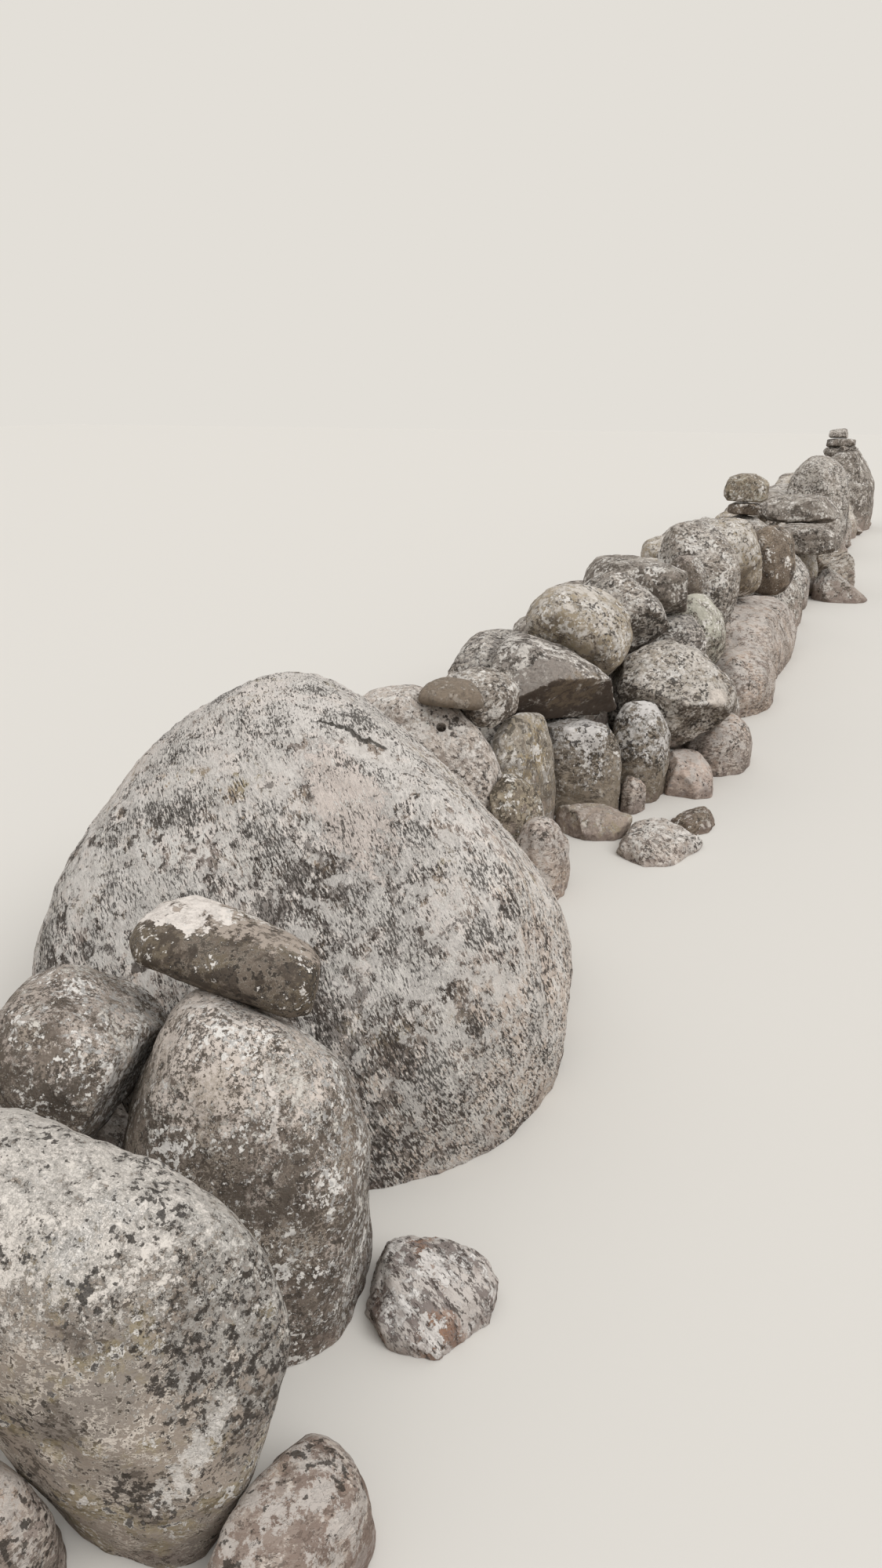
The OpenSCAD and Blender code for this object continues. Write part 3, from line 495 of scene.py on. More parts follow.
# granite with dark weathered minerals, dull olive-brown beside its neighbours
oliveGranite = stoneFinish("olive-brown granite", {"rock": "#7c7163"}, [
    coat("#a4977f", 110, 0.35, 0.6, 0.6, detail=6),
    grains("#aea28f", 20, 0.34, 0.3, 0.8, 0.8, alongGrain=False),
    grains("#453d32", 24, 0.24, 0.28, 0.85, -1.4, alongGrain=False, clumpMm=130, clump=0.4),
    dict(paleCrust, colour="#cbc7bc", cover=0.12),
    dict(whiteFlecks, cover=0.1), dict(cleanFoot, amount=0.5),
    groundDust,
])

# grey granite under whitish lichen with a cool cast, olive-brown below it
blueGreyGranite = stoneFinish("granite under cool grey lichen", {
    "rock": "#81776b", "layersAcross": (0.6, 0.2, 0.6), "layerShape": 0.35}, [
    coat("#6b6052", 110, 0.4, 0.6, 0.7, detail=6),
    grains("#aa9f90", 26, 0.38, 0.3, 0.8, 0.8),
    grains("#433b32", 24, 0.22, 0.28, 0.85, -1.5, clumpMm=150, clump=0.4),
    # the lichen, thicker towards the top
    coat("#bbb6af", 40, 0.016, 0.3, 0.75, detail=9, rough=0.8, clumpMm=170, clump=0.45, perMetreUp=7.0),
    coat("#e2deda", 20, 0.008, 0.25, detail=6, rough=0.78, clumpMm=120, clump=0.6, perMetreUp=7.5,
         reliefMm=1.0),
    dict(whiteFlecks, cover=0.06), dict(blackFlecks, cover=0.1),
    dict(cleanFoot, colour="#988b79", cover=0.985, amount=0.6),
    groundDust,
])

# brown schist: sheets of mica and quartz show as flat dark and pale bands
brownSchist = stoneFinish("banded brown schist", {
    "rock": "#8b7f72", "layersAcross": (0.1, 0.55, 0.8), "layerShape": 0.14, "toothMm": 12}, [
    coat("#b5a899", 190, 0.38, 0.3, 0.85, detail=6, alongGrain=True, reliefMm=2.0),
    coat("#4f463c", 120, 0.22, 0.25, 0.85, detail=6, rough=0.7, alongGrain=True, reliefMm=-2.0),
    coat("#c5beb4", 40, 0.16, 0.3, 0.8, detail=8, rough=0.8, clumpMm=200, clump=0.5, towards=(0, 0, 1),
         lean=0.7),
    dict(whiteFlecks, cover=0.1), dict(cleanFoot, amount=0.5),
    groundDust,
])

# smooth brown granite that few lichens have reached, its fine grains drawn coarser than the real ones
brownGranite = stoneFinish("smooth brown granite", {
    "rock": "#76685a", "layersAcross": (0.3, 0.5, 0.6), "layerShape": 0.4, "toothDepthMm": 3}, [
    coat("#968571", 170, 0.35, 0.8, 0.65, detail=5),
    coat("#a3988a", 14, 0.3, 0.4, 0.6, detail=3, rough=0.75, alongGrain=True, reliefMm=0.4),
    coat("#473e35", 15, 0.22, 0.35, 0.7, detail=3, rough=0.75, alongGrain=True, reliefMm=-0.8),
    # darker on the faces that look down: painted shade
    coat("#51473e", 110, 0.2, 0.7, 0.8, detail=7, rough=0.7, towards=(-0.1, -0.3, -1), lean=1.4),
    dict(paleCrust, cover=0.06),
    dict(whiteFlecks, cover=0.06), dict(blackFlecks, cover=0.08),
    coat("#86796a", 22, 0.95, 0.5, 0.85, detail=6, rough=0.75, at=(-4.82, 0.08, 0.59),
         radiiMm=(120, 120, 80)),
    dict(groundDust, amount=0.4),
])

# grey granite with pale greenish crust on what looks up
greenGranite = stoneFinish("granite under pale green lichen", {"rock": "#8f877b"}, [
    grains("#c6bfb3", 26, 0.38, 0.3, 0.8, 0.8, alongGrain=False),
    grains("#453f35", 24, 0.24, 0.28, 0.85, -1.4, alongGrain=False, clumpMm=140, clump=0.4),
    coat("#c2bfb0", 50, 0.18, 0.3, 0.85, detail=9, rough=0.8, towards=(-0.3, -0.3, 0.9), lean=1.9,
         reliefMm=1.0),
    dict(whiteFlecks, cover=0.14), dict(blackFlecks, cover=0.08), dict(cleanFoot, amount=0.6),
    groundDust,
])
print("finishes made")


# skin of a stone: remeshed from its CAD solid, chipped, worn round and weathered
stoneSkin = {
    "finish": greyGranite, "slot": "grey_granite",
    "mixed": False,  # whether the node's stones take turns in the kinds of grey granite
    "meshMm": 10, "wearTurns": 3,
    "roundMm": 0, "roundTurns": 12,  # mesh of a first rounding, on the largest stones, and its turns
    "plumpMm": 0,  # how much fuller than its solid
    "broken": [],  # faces broken off where listed: azimuth, elevation and what is left of the reach
    "cuts": [],  # the same, by a place on the face and the way it looks
    "each": [],  # what differs on the node's first stone, its second and so on
    "hollows": [],  # place, direction and three radii of a hollow
    "holes": [],  # place, direction, radius and depth of a drill hole
    "chips": 12, "chipDepth": 0.13,
    "swellMm": 16, "swellSizeMm": 220,
    "creaseMm": 12, "creaseSizeMm": 120,
    "pitMm": 7, "pitSizeMm": 50,
    "layerMm": 0, "layersAcross": (0, 0, 1), "layerShape": 0.15, "layerSizeMm": 120,
    "footMm": 80,  # how far a stone on the ground goes on below it until its foot is cut
    "smoothDegrees": 50,  # edges sharper than this stay sharp
}
nearSkin = {"meshMm": 11}
# stones in the far part and at the back have a coarser mesh and more and deeper chips
farSkin = {"meshMm": 27, "chips": 16, "chipDepth": 0.17, "mixed": True}


# adds a modifier, sets it and applies it
def applied(piece, kind, **settings):
    change = piece.modifiers.new(kind, kind)
    for name, value in settings.items():
        setattr(change, name, value)
    bpy.ops.object.modifier_apply(modifier=change.name)


# pushes the surface in and out by a noise, along an empty's axes where there is one
def pushedBy(piece, name, sizeMm, detail, depthMm, hard=False, guide=None):
    texture = bpy.data.textures.new(name, "CLOUDS")
    texture.noise_scale = sizeMm / 1000
    texture.noise_depth = detail
    texture.noise_type = "HARD_NOISE" if hard else "SOFT_NOISE"
    applied(piece, "DISPLACE", texture=texture, strength=depthMm / 1000, mid_level=0.5,
            texture_coords="OBJECT" if guide else "LOCAL", texture_coords_object=guide)


# cuts the stone by a plane, keeps what is behind it and closes the cut
def cutOff(place, direction):
    bpy.ops.object.mode_set(mode="EDIT")
    bpy.ops.mesh.select_all(action="SELECT")
    bpy.ops.mesh.bisect(plane_co=place, plane_no=direction, use_fill=True, clear_outer=True)
    bpy.ops.object.mode_set(mode="OBJECT")


# takes a primitive, which is picked, out of the stone
def takenOut(piece):
    tool = bpy.context.object
    pickOnly(piece)
    applied(piece, "BOOLEAN", operation="DIFFERENCE", solver="EXACT", object=tool)
    bpy.data.objects.remove(tool)


# a direction by chance, no further down than the lowest
def anyWay(chance, lowest):
    return Vector((chance.uniform(-1, 1), chance.uniform(-1, 1), chance.uniform(lowest, 1))).normalized()


# breaks flat chips off the proud corners, few of them from below
def chipped(piece, skin, chance):
    points = [v.co.copy() for v in piece.data.vertices]
    middle = sum(points, Vector()) / len(points)
    faces = []
    for azimuth, elevation, share in skin["broken"]:
        a, e = math.radians(azimuth), math.radians(elevation)
        faces.append((Vector((math.cos(e) * math.cos(a), math.cos(e) * math.sin(a), math.sin(e))), share))
    for k in range(skin["chips"]):
        way = anyWay(chance, -0.5)
        faces.append((way, 1 - skin["chipDepth"] * chance.uniform(0.25, 1)))
    for way, share in faces:
        reach = max((p - middle).dot(way) for p in points)
        cutOff(middle + way * reach * share, way)


# gives the stone an even mesh and wears its edges round
def remeshed(piece, meshMm, turns):
    applied(piece, "REMESH", mode="VOXEL", voxel_size=meshMm / 1000, use_smooth_shade=True)
    applied(piece, "SMOOTH", iterations=turns)


def wornStone(piece, skin, chance):
    pickOnly(piece)
    # a stone on the ground goes on below it, so that its foot stays sharp after the wear
    for v in piece.data.vertices:
        if v.co.z < 0.001:
            v.co.z = -skin["footMm"] / 1000
    chipped(piece, skin, chance)
    for place, way in skin["cuts"]:
        cutOff(place, way)
    for hollow in skin["hollows"]:
        bpy.ops.mesh.primitive_uv_sphere_add(segments=32, ring_count=16, radius=1, location=hollow["at"],
                                             rotation=turnedTo(hollow["along"], "X"),
                                             scale=[r / 1000 for r in hollow["radiiMm"]])
        takenOut(piece)
    if skin["roundMm"]:
        remeshed(piece, skin["roundMm"], skin["roundTurns"])
    remeshed(piece, skin["meshMm"], skin["wearTurns"])
    if skin["plumpMm"]:
        applied(piece, "DISPLACE", strength=skin["plumpMm"] / 1000, mid_level=0)
    for name, detail, hard in [("swell", 1, False), ("crease", 2, True), ("pit", 3, False)]:
        pushedBy(piece, name, skin[name + "SizeMm"], detail, skin[name + "Mm"], hard)
    if skin["layerMm"]:
        guide = bpy.data.objects.new("layers", None)
        guide.rotation_euler = turnedTo(skin["layersAcross"])
        guide.scale = (1, 1, skin["layerShape"])
        bpy.context.scene.collection.objects.link(guide)
        bpy.context.view_layer.update()
        pushedBy(piece, "layers", skin["layerSizeMm"], 3, skin["layerMm"], guide=guide)
        bpy.data.objects.remove(guide)
    cutOff((0, 0, 0), (0, 0, -1))


def dressed(node, changes):
    skin = {**stoneSkin, **changes}
    chance = random.Random(node + "1")  # each stone has its own draws, which follow from the node's name
    piece = bpy.data.objects.new(node + "_skin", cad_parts[node].data.copy())
    bpy.context.scene.collection.objects.link(piece)
    pickOnly(piece)
    bpy.ops.object.mode_set(mode="EDIT")
    bpy.ops.mesh.select_all(action="SELECT")
    bpy.ops.mesh.remove_doubles(threshold=0.0001)
    bpy.ops.mesh.separate(type="LOOSE")
    bpy.ops.object.mode_set(mode="OBJECT")
    parts = sorted(bpy.context.selected_objects, key=lambda p: p.name)
    kinds = [skin["finish"]]
    if skin["mixed"]:
        kinds += [warmGranite, greyGranite, duskGranite]
    for number, part in enumerate(parts):
        own = skin["each"][number] if number < len(skin["each"]) else {}
        wornStone(part, {**skin, **own}, chance)
        part.data.materials.clear()
        part.data.materials.append(own.get("finish", kinds[number % len(kinds)]))
    pickOnly(*parts)
    if len(parts) > 1:
        bpy.ops.object.join()
    piece = bpy.context.object
    piece.name = node + "_skin"
    for hole in skin["holes"]:
        bpy.ops.mesh.primitive_cylinder_add(
            vertices=24, radius=hole["radiusMm"] / 1000, depth=2 * hole["depthMm"] / 1000,
            location=hole["at"], rotation=turnedTo(hole["direction"]))
        takenOut(piece)
    bpy.ops.object.shade_smooth_by_angle(angle=math.radians(skin["smoothDegrees"]))
    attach(piece, "root")
    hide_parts(node)
    return piece


# what differs from the plain skin, stone by stone
pale = dict(finish=paleGranite, slot="pale_granite")
clean = dict(finish=cleanGranite, slot="clean_granite")
dark = dict(finish=darkGranite, slot="dark_granite")
blueGrey = dict(finish=blueGreyGranite, slot="blue_grey_granite")
schist = dict(finish=brownSchist, slot="brown_schist")
stones = {
    # near end
    "great_boulder": dict(
        finish=greyGneiss, slot="grey_gneiss", roundMm=30, wearTurns=6, chips=14, chipDepth=0.03,
        swellMm=26, swellSizeMm=420, creaseMm=10, creaseSizeMm=260, pitSizeMm=80, layerMm=12,
        layersAcross=(0.4, -0.8, 0.45), broken=[(198, 40, 0.955), (-82, 16, 0.95), (-35, 50, 0.95)],
        hollows=[dict(at=(-5.96, -0.17, 0.815), along=(0.03, -0.1, -0.1), radiiMm=(150, 60, 60)),
                 dict(at=(-6.41, 0.28, 0.52), along=(0.3, 0.1, 0.6), radiiMm=(170, 60, 55))]),
    "dark_boulder": dict(dark, meshMm=8, roundMm=16, wearTurns=4, chips=10, chipDepth=0.04),
    "near_boulder": dict(
        finish=buffGranite, slot="buff_granite", meshMm=8, roundMm=18, wearTurns=4, chips=10,
        chipDepth=0.03),
    "wedge_stone": dict(dark, meshMm=6, wearTurns=8, chips=8, chipDepth=0.06),
    "loaf_stone": dict(
        finish=loafGranite, slot="dark_granite", meshMm=5, wearTurns=9, chips=6, chipDepth=0.05, swellMm=8,
        creaseMm=5, plumpMm=7),
    "near_footings": dict(clean, meshMm=7, wearTurns=8, chipDepth=0.06),
    "pale_back_stone": dict(pale, wearTurns=6),
    "white_split_stone": dict(
        finish=splitQuartz, slot="split_quartz", meshMm=5, wearTurns=2, chips=18, chipDepth=0.2,
        creaseMm=10, creaseSizeMm=70, layerMm=8, layersAcross=(0.7, -0.4, 0.3), layerSizeMm=60),
    # behind the great boulder
    "drilled_boulder": dict(
        pale, meshMm=9, wearTurns=6, chipDepth=0.04, creaseMm=8, plumpMm=24,
        holes=[dict(at=(-4.839, 0.131, 0.471), direction=(-0.7, -0.4, 0.6), radiusMm=17, depthMm=80)]),
    "grey_shoulder_stones": dict(
        meshMm=7, wearTurns=1, chipDepth=0.14, creaseSizeMm=70,
        each=[dict(),
              dict(finish=brownGranite, chips=3, chipDepth=0.04, wearTurns=8, swellMm=4, creaseMm=3,
                   pitMm=3, plumpMm=14, cuts=[((-4.84, 0.08, 0.56), (-0.27, 0, -0.96))])]),
    "pink_foot_stone": dict(clean, meshMm=8, wearTurns=4, chips=14),
    "lean_stone": dict(finish=oliveGranite, meshMm=8, wearTurns=4),
    "yellow_stone": dict(
        finish=yellowGranite, slot="yellow_lichen_granite", meshMm=8, roundMm=22, wearTurns=5,
        chipDepth=0.08),
    "square_block": dict(
        blueGrey, meshMm=8, wearTurns=2, chips=6, chipDepth=0.07, broken=[(-165, 8, 0.84), (-70, 0, 0.9)]),
    "egg_stone": dict(blueGrey, meshMm=8, wearTurns=5, chips=8, chipDepth=0.06),
    "overhang_cap": dict(
        finish=capGranite, meshMm=8, wearTurns=1, chips=6, chipDepth=0.08, creaseMm=6,
        broken=[(-172, 40, 0.8), (-60, 25, 0.86)], cuts=[((-4.37, -0.055, 0.525), (-0.47, -0.62, -0.63))]),
    # middle
    "broad_boulder": dict(meshMm=9, wearTurns=4, chipDepth=0.1, creaseMm=16, broken=[(-140, -38, 0.74)]),
    "round_cap": dict(finish=warmGranite, wearTurns=6, chipDepth=0.06),
    "peaked_cap": dict(
        wearTurns=2, chips=8, chipDepth=0.08, broken=[(-150, -22, 0.72), (-75, 28, 0.82), (170, 35, 0.84)]),
    "slab_cap": dict(
        finish=duskGranite, meshMm=9, wearTurns=1, chips=3, chipDepth=0.05, swellMm=6, creaseMm=9,
        layerMm=8,
        cuts=[((-3.1, -0.05, 0.795), (-0.12, -0.05, 1)), ((-3.16, -0.24, 0.7), (-0.62, -0.78, -0.1)),
              ((-2.95, -0.27, 0.7), (0.2, -0.97, 0.05))]),
    "under_slab_stone": dict(wearTurns=4),
    "green_stone": dict(finish=greenGranite, slot="green_lichen_granite", wearTurns=5),
    "dark_filler": dark,
    "foot_stones": dict(clean, meshMm=7, wearTurns=2, chips=16, chipDepth=0.16),
    "flat_ground_stones": dict(
        pale, meshMm=7, wearTurns=1, chips=20, chipDepth=0.25, layerMm=6, layerSizeMm=80,
        each=[dict(finish=warmGranite,
                   cuts=[((-4.33, -0.25, 0.085), (0.1, -0.1, 1)),
                         ((-4.44, -0.25, 0.06), (-0.7, -0.3, 0.6))]), dict(), dict(finish=brownGranite)]),
    "round_footing": dict(clean, wearTurns=4, chips=14),
    "low_footing": dict(clean, chips=14, creaseMm=14),
    "long_footing": dict(
        clean, slot="grey_granite", meshMm=13, wearTurns=4, chips=16, chipDepth=0.1, swellMm=30,
        swellSizeMm=300, creaseMm=18, creaseSizeMm=180),
    "tall_boulder": dict(chips=14, creaseMm=16),
    # far part
    "twin_boulder": dict(finish=warmGranite),
    "brown_boulder": dict(finish=brownGranite, slot="brown_schist", swellMm=10, creaseMm=6),
    "banded_stone": dict(
        schist, meshMm=12, wearTurns=1, layerMm=16, layersAcross=(0.1, 0.55, 0.8),
        cuts=[((1.65, -0.54, 0.26), (-0.3, -0.15, 0.94)), ((1.43, -0.45, 0.15), (-0.85, 0.45, 0.25))]),
    "path_boulder": dict(
        meshMm=10, wearTurns=1, chips=6, chipDepth=0.06,
        cuts=[((1.16, -0.7, 0.125), (0.1, -0.6, 0.8)), ((0.99, -0.65, 0.1), (-0.9, -0.2, 0.4)),
              ((1.16, -0.49, 0.18), (-0.2, 0.7, 0.7))]),
    "cairn_base": dict(
        meshMm=12, wearTurns=2, chips=10, chipDepth=0.08, broken=[(-165, 25, 0.85), (-80, 10, 0.85)]),
    # a square block bedded on a flat wedge
    "cairn": dict(
        finish=brownGranite, meshMm=8, wearTurns=1, chips=4, chipDepth=0.06, swellMm=6, creaseMm=5, pitMm=4,
        each=[dict(cuts=[((0.16, -0.04, 0.784), (0, 0, 1)), ((0.04, -0.04, 0.74), (-0.9, -0.2, -0.35))]),
              dict(finish=oliveGranite,
                   cuts=[((0.16, -0.04, 0.785), (0, 0, -1)), ((0.045, -0.04, 0.88), (-1, -0.15, 0.1)),
                         ((0.16, -0.1, 0.945), (-0.1, -0.55, 0.83)), ((0.16, 0.1, 0.88), (0, 1, 0.12)),
                         ((0.16, -0.18, 0.85), (0, -1, 0.1)), ((0.16, 0.03, 0.965), (-0.25, 0.2, 1))])]),
    "upper_long_boulder": dict(
        finish=duskGranite, meshMm=11, wearTurns=1, chips=6, chipDepth=0.07, creaseMm=14,
        cuts=[((1.29, -0.25, 0.62), (-1, -0.05, 0.2)), ((1.5, -0.47, 0.66), (-0.1, -0.75, 0.65))]),
    "lower_long_boulder": dict(
        finish=duskGranite, meshMm=10, wearTurns=1, chips=6, chipDepth=0.07,
        cuts=[((0.945, -0.42, 0.45), (-1, -0.12, 0.1)), ((1.1, -0.6, 0.45), (-0.1, -1, 0.15))],
        hollows=[dict(at=(0.94, -0.4, 0.45), along=(0.05, 1, 0), radiiMm=(300, 90, 8))]),
    "far_boulder": dict(
        finish=greyGranite, meshMm=20, wearTurns=1, chips=10, chipDepth=0.08,
        broken=[(165, 15, 0.84), (-130, 20, 0.86)]),
    "last_boulder": dict(
        finish=duskGranite, meshMm=20, wearTurns=2, chips=10, chipDepth=0.08,
        broken=[(-175, 25, 0.84), (-95, 30, 0.84)]),
    "last_caps": dict(
        finish=duskGranite, meshMm=10, wearTurns=1, chips=4, chipDepth=0.08, swellMm=8, creaseMm=8,
        each=[dict(cuts=[((6.27, -0.16, 1.001), (0, 0, 1)), ((6.1, -0.16, 0.95), (-1, 0, 0.1)),
                         ((6.27, -0.31, 0.95), (0, -1, 0)), ((6.27, 0.0, 0.95), (0, 1, 0))]),
              dict(finish=greyGranite,
                   cuts=[((6.27, -0.16, 1.002), (0, 0, -1)), ((6.13, -0.16, 1.05), (-1, 0, 0.1)),
                         ((6.27, -0.21, 1.05), (0, -1, 0.2)), ((6.27, -0.02, 1.05), (0, 1, 0))])]),
    "inner_footing": dict(finish=duskGranite),
}
skins = []
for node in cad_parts:
    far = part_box(node)[0].x > 0 or node.startswith("lawn")
    skins.append(dressed(node, {**(farSkin if far else nearSkin), **stones.get(node, {})}))
print("stones dressed")


# small broken stones that wedge the big ones, a few of them modelled and then copied into the hollows;
# lengths in metres
fillStones = {
    "models": 7, "chips": 10, "chipDepth": 0.42, "shape": (1.25, 0.95, 0.72), "smoothDegrees": 32,
    "bays": 6,  # pieces along the run that the small stones are joined into
    "nearEnd": 0.3, "farEnd": 0.15,  # how far they stay inside the wall's ends
    "every": 0.125, "jitter": 0.05, "rows": 10, "firstRow": -0.6,  # rows of places tried across the wall
    "turns": 4, "startHeights": (2.0, 0.43),  # from over the wall and from under the caps by turns
    "front": -0.66, "back": 0.62,  # none lies further out than this
    "bareFront": 0.06, "bareUntil": 1.5,  # nor so near the front before this place along the wall
    "reach": 0.11, "hollow": 0.06,  # a hollow lies this much lower than what is round it
    "least": 0.045, "most": 0.11, "roomShare": 0.75,  # half sizes, and how much of the room one takes
    "smallest": 0.7, "tilt": 0.5,
    "sunk": 0.5,  # how far the middle is above the hollow, in half sizes
    # chocks go where one of these stands this much clear of what is below it, and press into both
    "chocked": ("last_caps", "lawn_uppers_near", "lawn_uppers_far"),
    "chockEvery": 0.08, "clearFrom": 0.014, "clearTo": 0.12, "press": 0.006, "chockHeight": 0.6,
}


def modelStone(number):
    chance = random.Random(number)
    bpy.ops.mesh.primitive_ico_sphere_add(subdivisions=2, radius=1)
    stone = bpy.context.object
    for k in range(fillStones["chips"]):
        way = anyWay(chance, -1)
        cutOff(way * (1 - fillStones["chipDepth"] * chance.uniform(0.3, 1)), way)
    stone.data.transform(Matrix.Diagonal((*fillStones["shape"], 1)))
    return stone


# the surface below a place in the air, or nothing inside a stone
def surfaceBelow(x, y, z):
    best, outside = 0.0, True
    for tree in trees:
        place, normal = tree.ray_cast((x, y, z), (0, 0, -1))[:2]
        if place and place.z > best:
            best, outside = place.z, normal.z > 0
    return best if outside else None


# how high it is clear above a place on a stone, measured from just over the surface
def roomAbove(x, y, z):
    hits = [tree.ray_cast((x, y, z + 0.004), (0, 0, 1))[0] for tree in trees]
    return min((hit.z - z for hit in hits if hit), default=2.0)


# the floor of a hollow and the room over it, up to its rim or to what hangs over it, or nothing where
# it is no hollow; a hollow has something higher on both sides
def hollowAt(x, y, start):
    low = surfaceBelow(x, y, start)
    if low is None:
        return None
    around = [k * math.pi / 4 for k in range(8)]
    reach = fillStones["reach"]
    ring = [surfaceBelow(x + reach * math.cos(a), y + reach * math.sin(a), start) for a in around]
    higher = [start - low if z is None else z - low for z in ring]
    rise = max(min(higher[k], higher[k + 4]) for k in range(4))
    return (low, min(rise, roomAbove(x, y, low))) if rise >= fillStones["hollow"] else None


# lays a copy of a model stone in its bay of the wall
def laid(model, middle, spin, half):
    stone = bpy.data.objects.new("fill", model.data.copy())
    bpy.context.scene.collection.objects.link(stone)
    stone.data.transform(Matrix.LocRotScale(Vector(middle), spin, (half, half, half)))
    pickOnly(stone)
    if min(v.co.z for v in stone.data.vertices) < 0:
        cutOff((0, 0, 0), (0, 0, -1))
    bpy.context.view_layer.update()
    trees.append(BVHTree.FromObject(stone, bpy.context.evaluated_depsgraph_get()))
    bay = int((middle[0] - wallStart) / (wallEnd - wallStart) * fillStones["bays"])
    bays[min(max(bay, 0), fillStones["bays"] - 1)].append(stone)


models = [modelStone(number) for number in range(fillStones["models"])]
graph = bpy.context.evaluated_depsgraph_get()
trees = [BVHTree.FromObject(skin, graph) for skin in skins]
chance = random.Random(7)
wallStart, wallEnd = cadBox[0].x + fillStones["nearEnd"], cadBox[1].x - fillStones["farEnd"]
bays = [[] for bay in range(fillStones["bays"])]
step, jitter, tilt = fillStones["every"], fillStones["jitter"], fillStones["tilt"]
for turn in range(fillStones["turns"]):
    start = fillStones["startHeights"][turn % 2]
    for column in range(int((wallEnd - wallStart) / step)):
        for row in range(fillStones["rows"]):
            x = wallStart + column * step + chance.uniform(-jitter, jitter)
            y = fillStones["firstRow"] + row * step + chance.uniform(-jitter, jitter)
            model, size = chance.choice(models), chance.uniform(fillStones["smallest"], 1)
            spin = Euler([chance.uniform(-tilt, tilt), chance.uniform(-tilt, tilt), chance.uniform(0, 6.3)])
            if x < fillStones["bareUntil"] and y < fillStones["bareFront"]:
                continue
            if not fillStones["front"] < y < fillStones["back"]:
                continue
            hollow = hollowAt(x, y, start)
            if hollow is None:
                continue
            low, room = hollow
            half = min(fillStones["most"], fillStones["roomShare"] * room) * size
            if half >= fillStones["least"]:
                laid(model, (x, y, low + fillStones["sunk"] * half), spin, half)
# chocks under the stones that rest on a few points
step = fillStones["chockEvery"]
for node in fillStones["chocked"]:
    first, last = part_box(node)
    above = trees[list(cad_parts).index(node)]
    for column in range(int((last.x - first.x) / step)):
        for row in range(int((last.y - first.y) / step)):
            x = first.x + (column + chance.uniform(0.2, 0.8)) * step
            y = first.y + (row + chance.uniform(0.2, 0.8)) * step
            model = chance.choice(models)
            spin = Euler((0, 0, chance.uniform(0, 6.3)))
            underside = above.ray_cast((x, y, 0.01), (0, 0, 1))[0]
            if underside is None:
                continue
            low = surfaceBelow(x, y, underside.z - 0.002)
            if low is None:
                continue
            clear = underside.z - low
            if fillStones["clearFrom"] <= clear <= fillStones["clearTo"]:
                half = (0.5 * clear + fillStones["press"]) / fillStones["chockHeight"]
                laid(model, (x, y, (low + underside.z) / 2), spin, half)
for model in models:
    bpy.data.objects.remove(model)
for number, bay in enumerate(bays):
    pickOnly(*bay)
    bpy.ops.object.join()
    filling = bpy.context.object
    filling.name = "fill_stones_%d" % number
    filling.data.materials.clear()
    filling.data.materials.append(greyGranite)
    bpy.ops.object.shade_smooth_by_angle(angle=math.radians(fillStones["smoothDegrees"]))
    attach(filling, "root")
print("small stones wedged in:", [len(bay) for bay in bays])

# a floor that fades into the backdrop: the camera sees it pale, and the stones get only as much light
# back from it as from dull ground
paleFloor = {"size": 80, "seen": "#d6d3cd", "lit": "#8f867c", "roughness": 0.9}
bpy.ops.mesh.primitive_plane_add(size=paleFloor["size"], location=(0, 0, -0.001))
floor = bpy.context.object
floor.name = "floor"
paper = bpy.data.materials.new("pale floor")
paper.use_nodes = True
paperTree = paper.node_tree
shade = addNode(paperTree, "MixRGB", None, {
    "Fac": addNode(paperTree, "LightPath").outputs["Is Camera Ray"],
    "Color1": linearColour(paleFloor["lit"]), "Color2": linearColour(paleFloor["seen"])})
paperTree.links.new(shade.outputs["Color"], paperTree.nodes["Principled BSDF"].inputs["Base Color"])
paperTree.nodes["Principled BSDF"].inputs["Roughness"].default_value = paleFloor["roughness"]
floor.data.materials.append(paper)
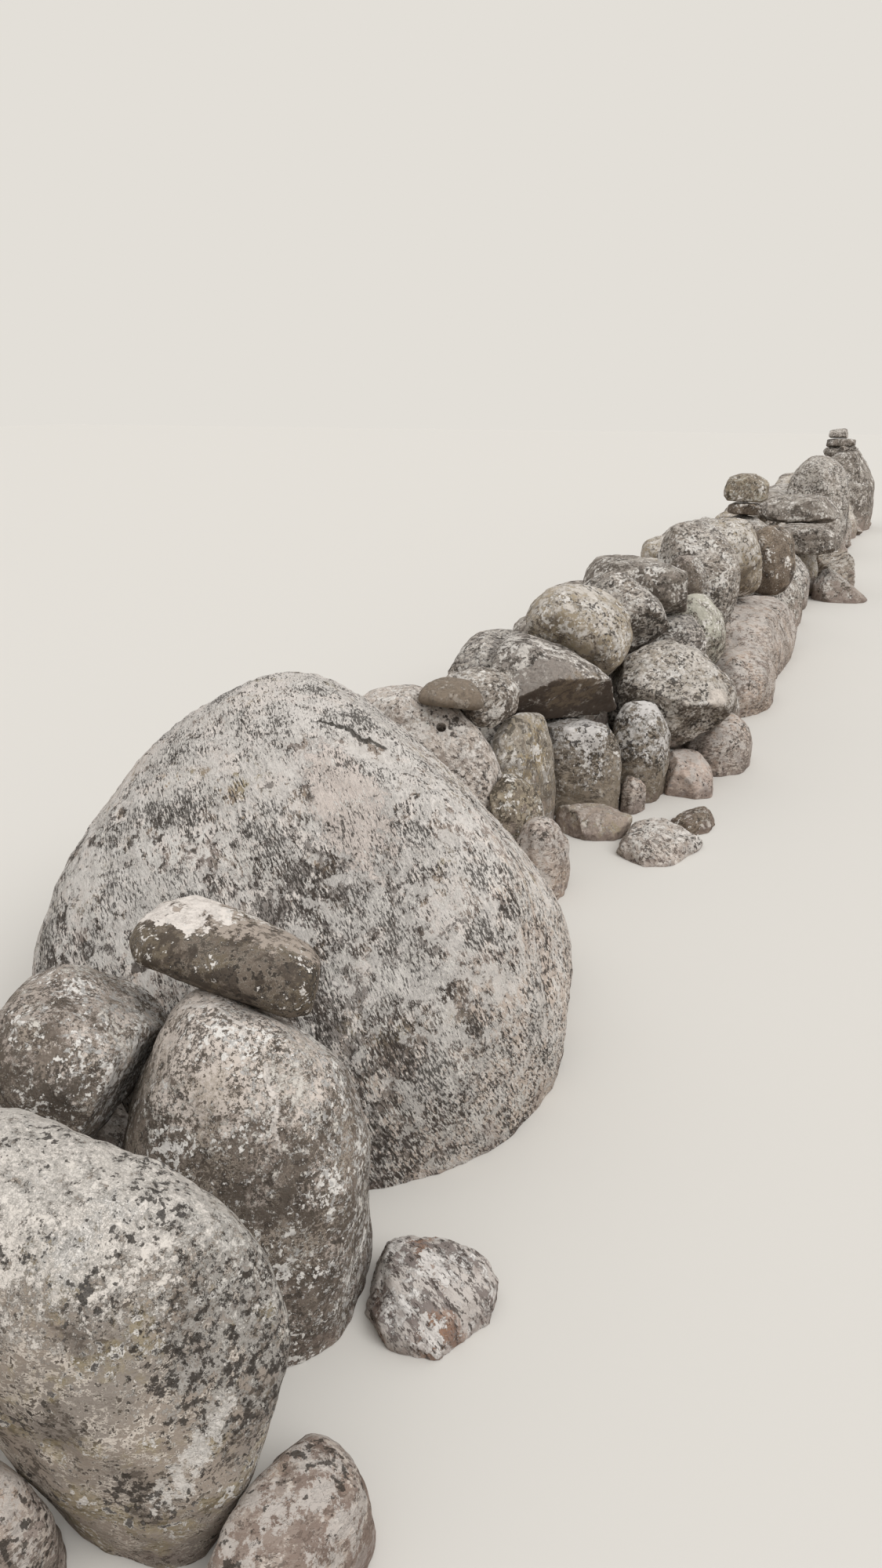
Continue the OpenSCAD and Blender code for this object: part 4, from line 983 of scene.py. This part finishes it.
floor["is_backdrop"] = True

# soft sky light, behind which the camera and the reflections see a pale backdrop
sky = {"light": "#f4f2f0", "strength": 0.85, "backdrop": "#e3dfd8"}
world = bpy.data.worlds.new("soft sky")
bpy.context.scene.world = world
world.use_nodes = True
worldTree = world.node_tree
worldTree.nodes.clear()
rays = addNode(worldTree, "LightPath")
straight = rays.outputs["Is Camera Ray"]
for ray in ("Is Glossy Ray", "Is Transmission Ray"):
    straight = addNode(worldTree, "Math", {"operation": "MAXIMUM"}, {
        0: straight, 1: rays.outputs[ray]}).outputs["Value"]
light = addNode(worldTree, "Background", None, {
    "Color": linearColour(sky["light"]), "Strength": sky["strength"]})
backdrop = addNode(worldTree, "Background", None, {"Color": linearColour(sky["backdrop"]), "Strength": 1.0})
both = addNode(worldTree, "MixShader", None, {
    "Fac": straight, 1: light.outputs["Background"], 2: backdrop.outputs["Background"]})
addNode(worldTree, "OutputWorld", None, {"Surface": both.outputs["Shader"]})

sunLight = {"strength": 1.6, "softDegrees": 40, "turn": (math.radians(38), math.radians(-20), 0)}
bpy.ops.object.light_add(type="SUN", location=(0, 0, 6), rotation=sunLight["turn"])
sun = bpy.context.object
sun.data.energy = sunLight["strength"]
sun.data.angle = math.radians(sunLight["softDegrees"])

# an eye-level view along the wall, looking down at its near end
viewPoint = {"place": (-8.09, -1.25, 1.5), "downDegrees": 19, "acrossDegrees": 23, "lensMm": 26.1,
             "sensorMm": 36}
bpy.ops.object.camera_add(location=viewPoint["place"])
camera = bpy.context.object
camera.rotation_euler = (math.radians(90 - viewPoint["downDegrees"]), 0,
                         math.radians(viewPoint["acrossDegrees"] - 90))
camera.data.sensor_width = viewPoint["sensorMm"]
camera.data.lens = viewPoint["lensMm"]
bpy.context.scene.camera = camera
bpy.context.scene.view_settings.view_transform = "Standard"

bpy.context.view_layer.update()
triangles = {p.name: sum(len(f.vertices) - 2 for f in p.data.polygons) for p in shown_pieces()}
print("triangles in all:", sum(triangles.values()), "most:", max(triangles, key=triangles.get),
      max(triangles.values()))
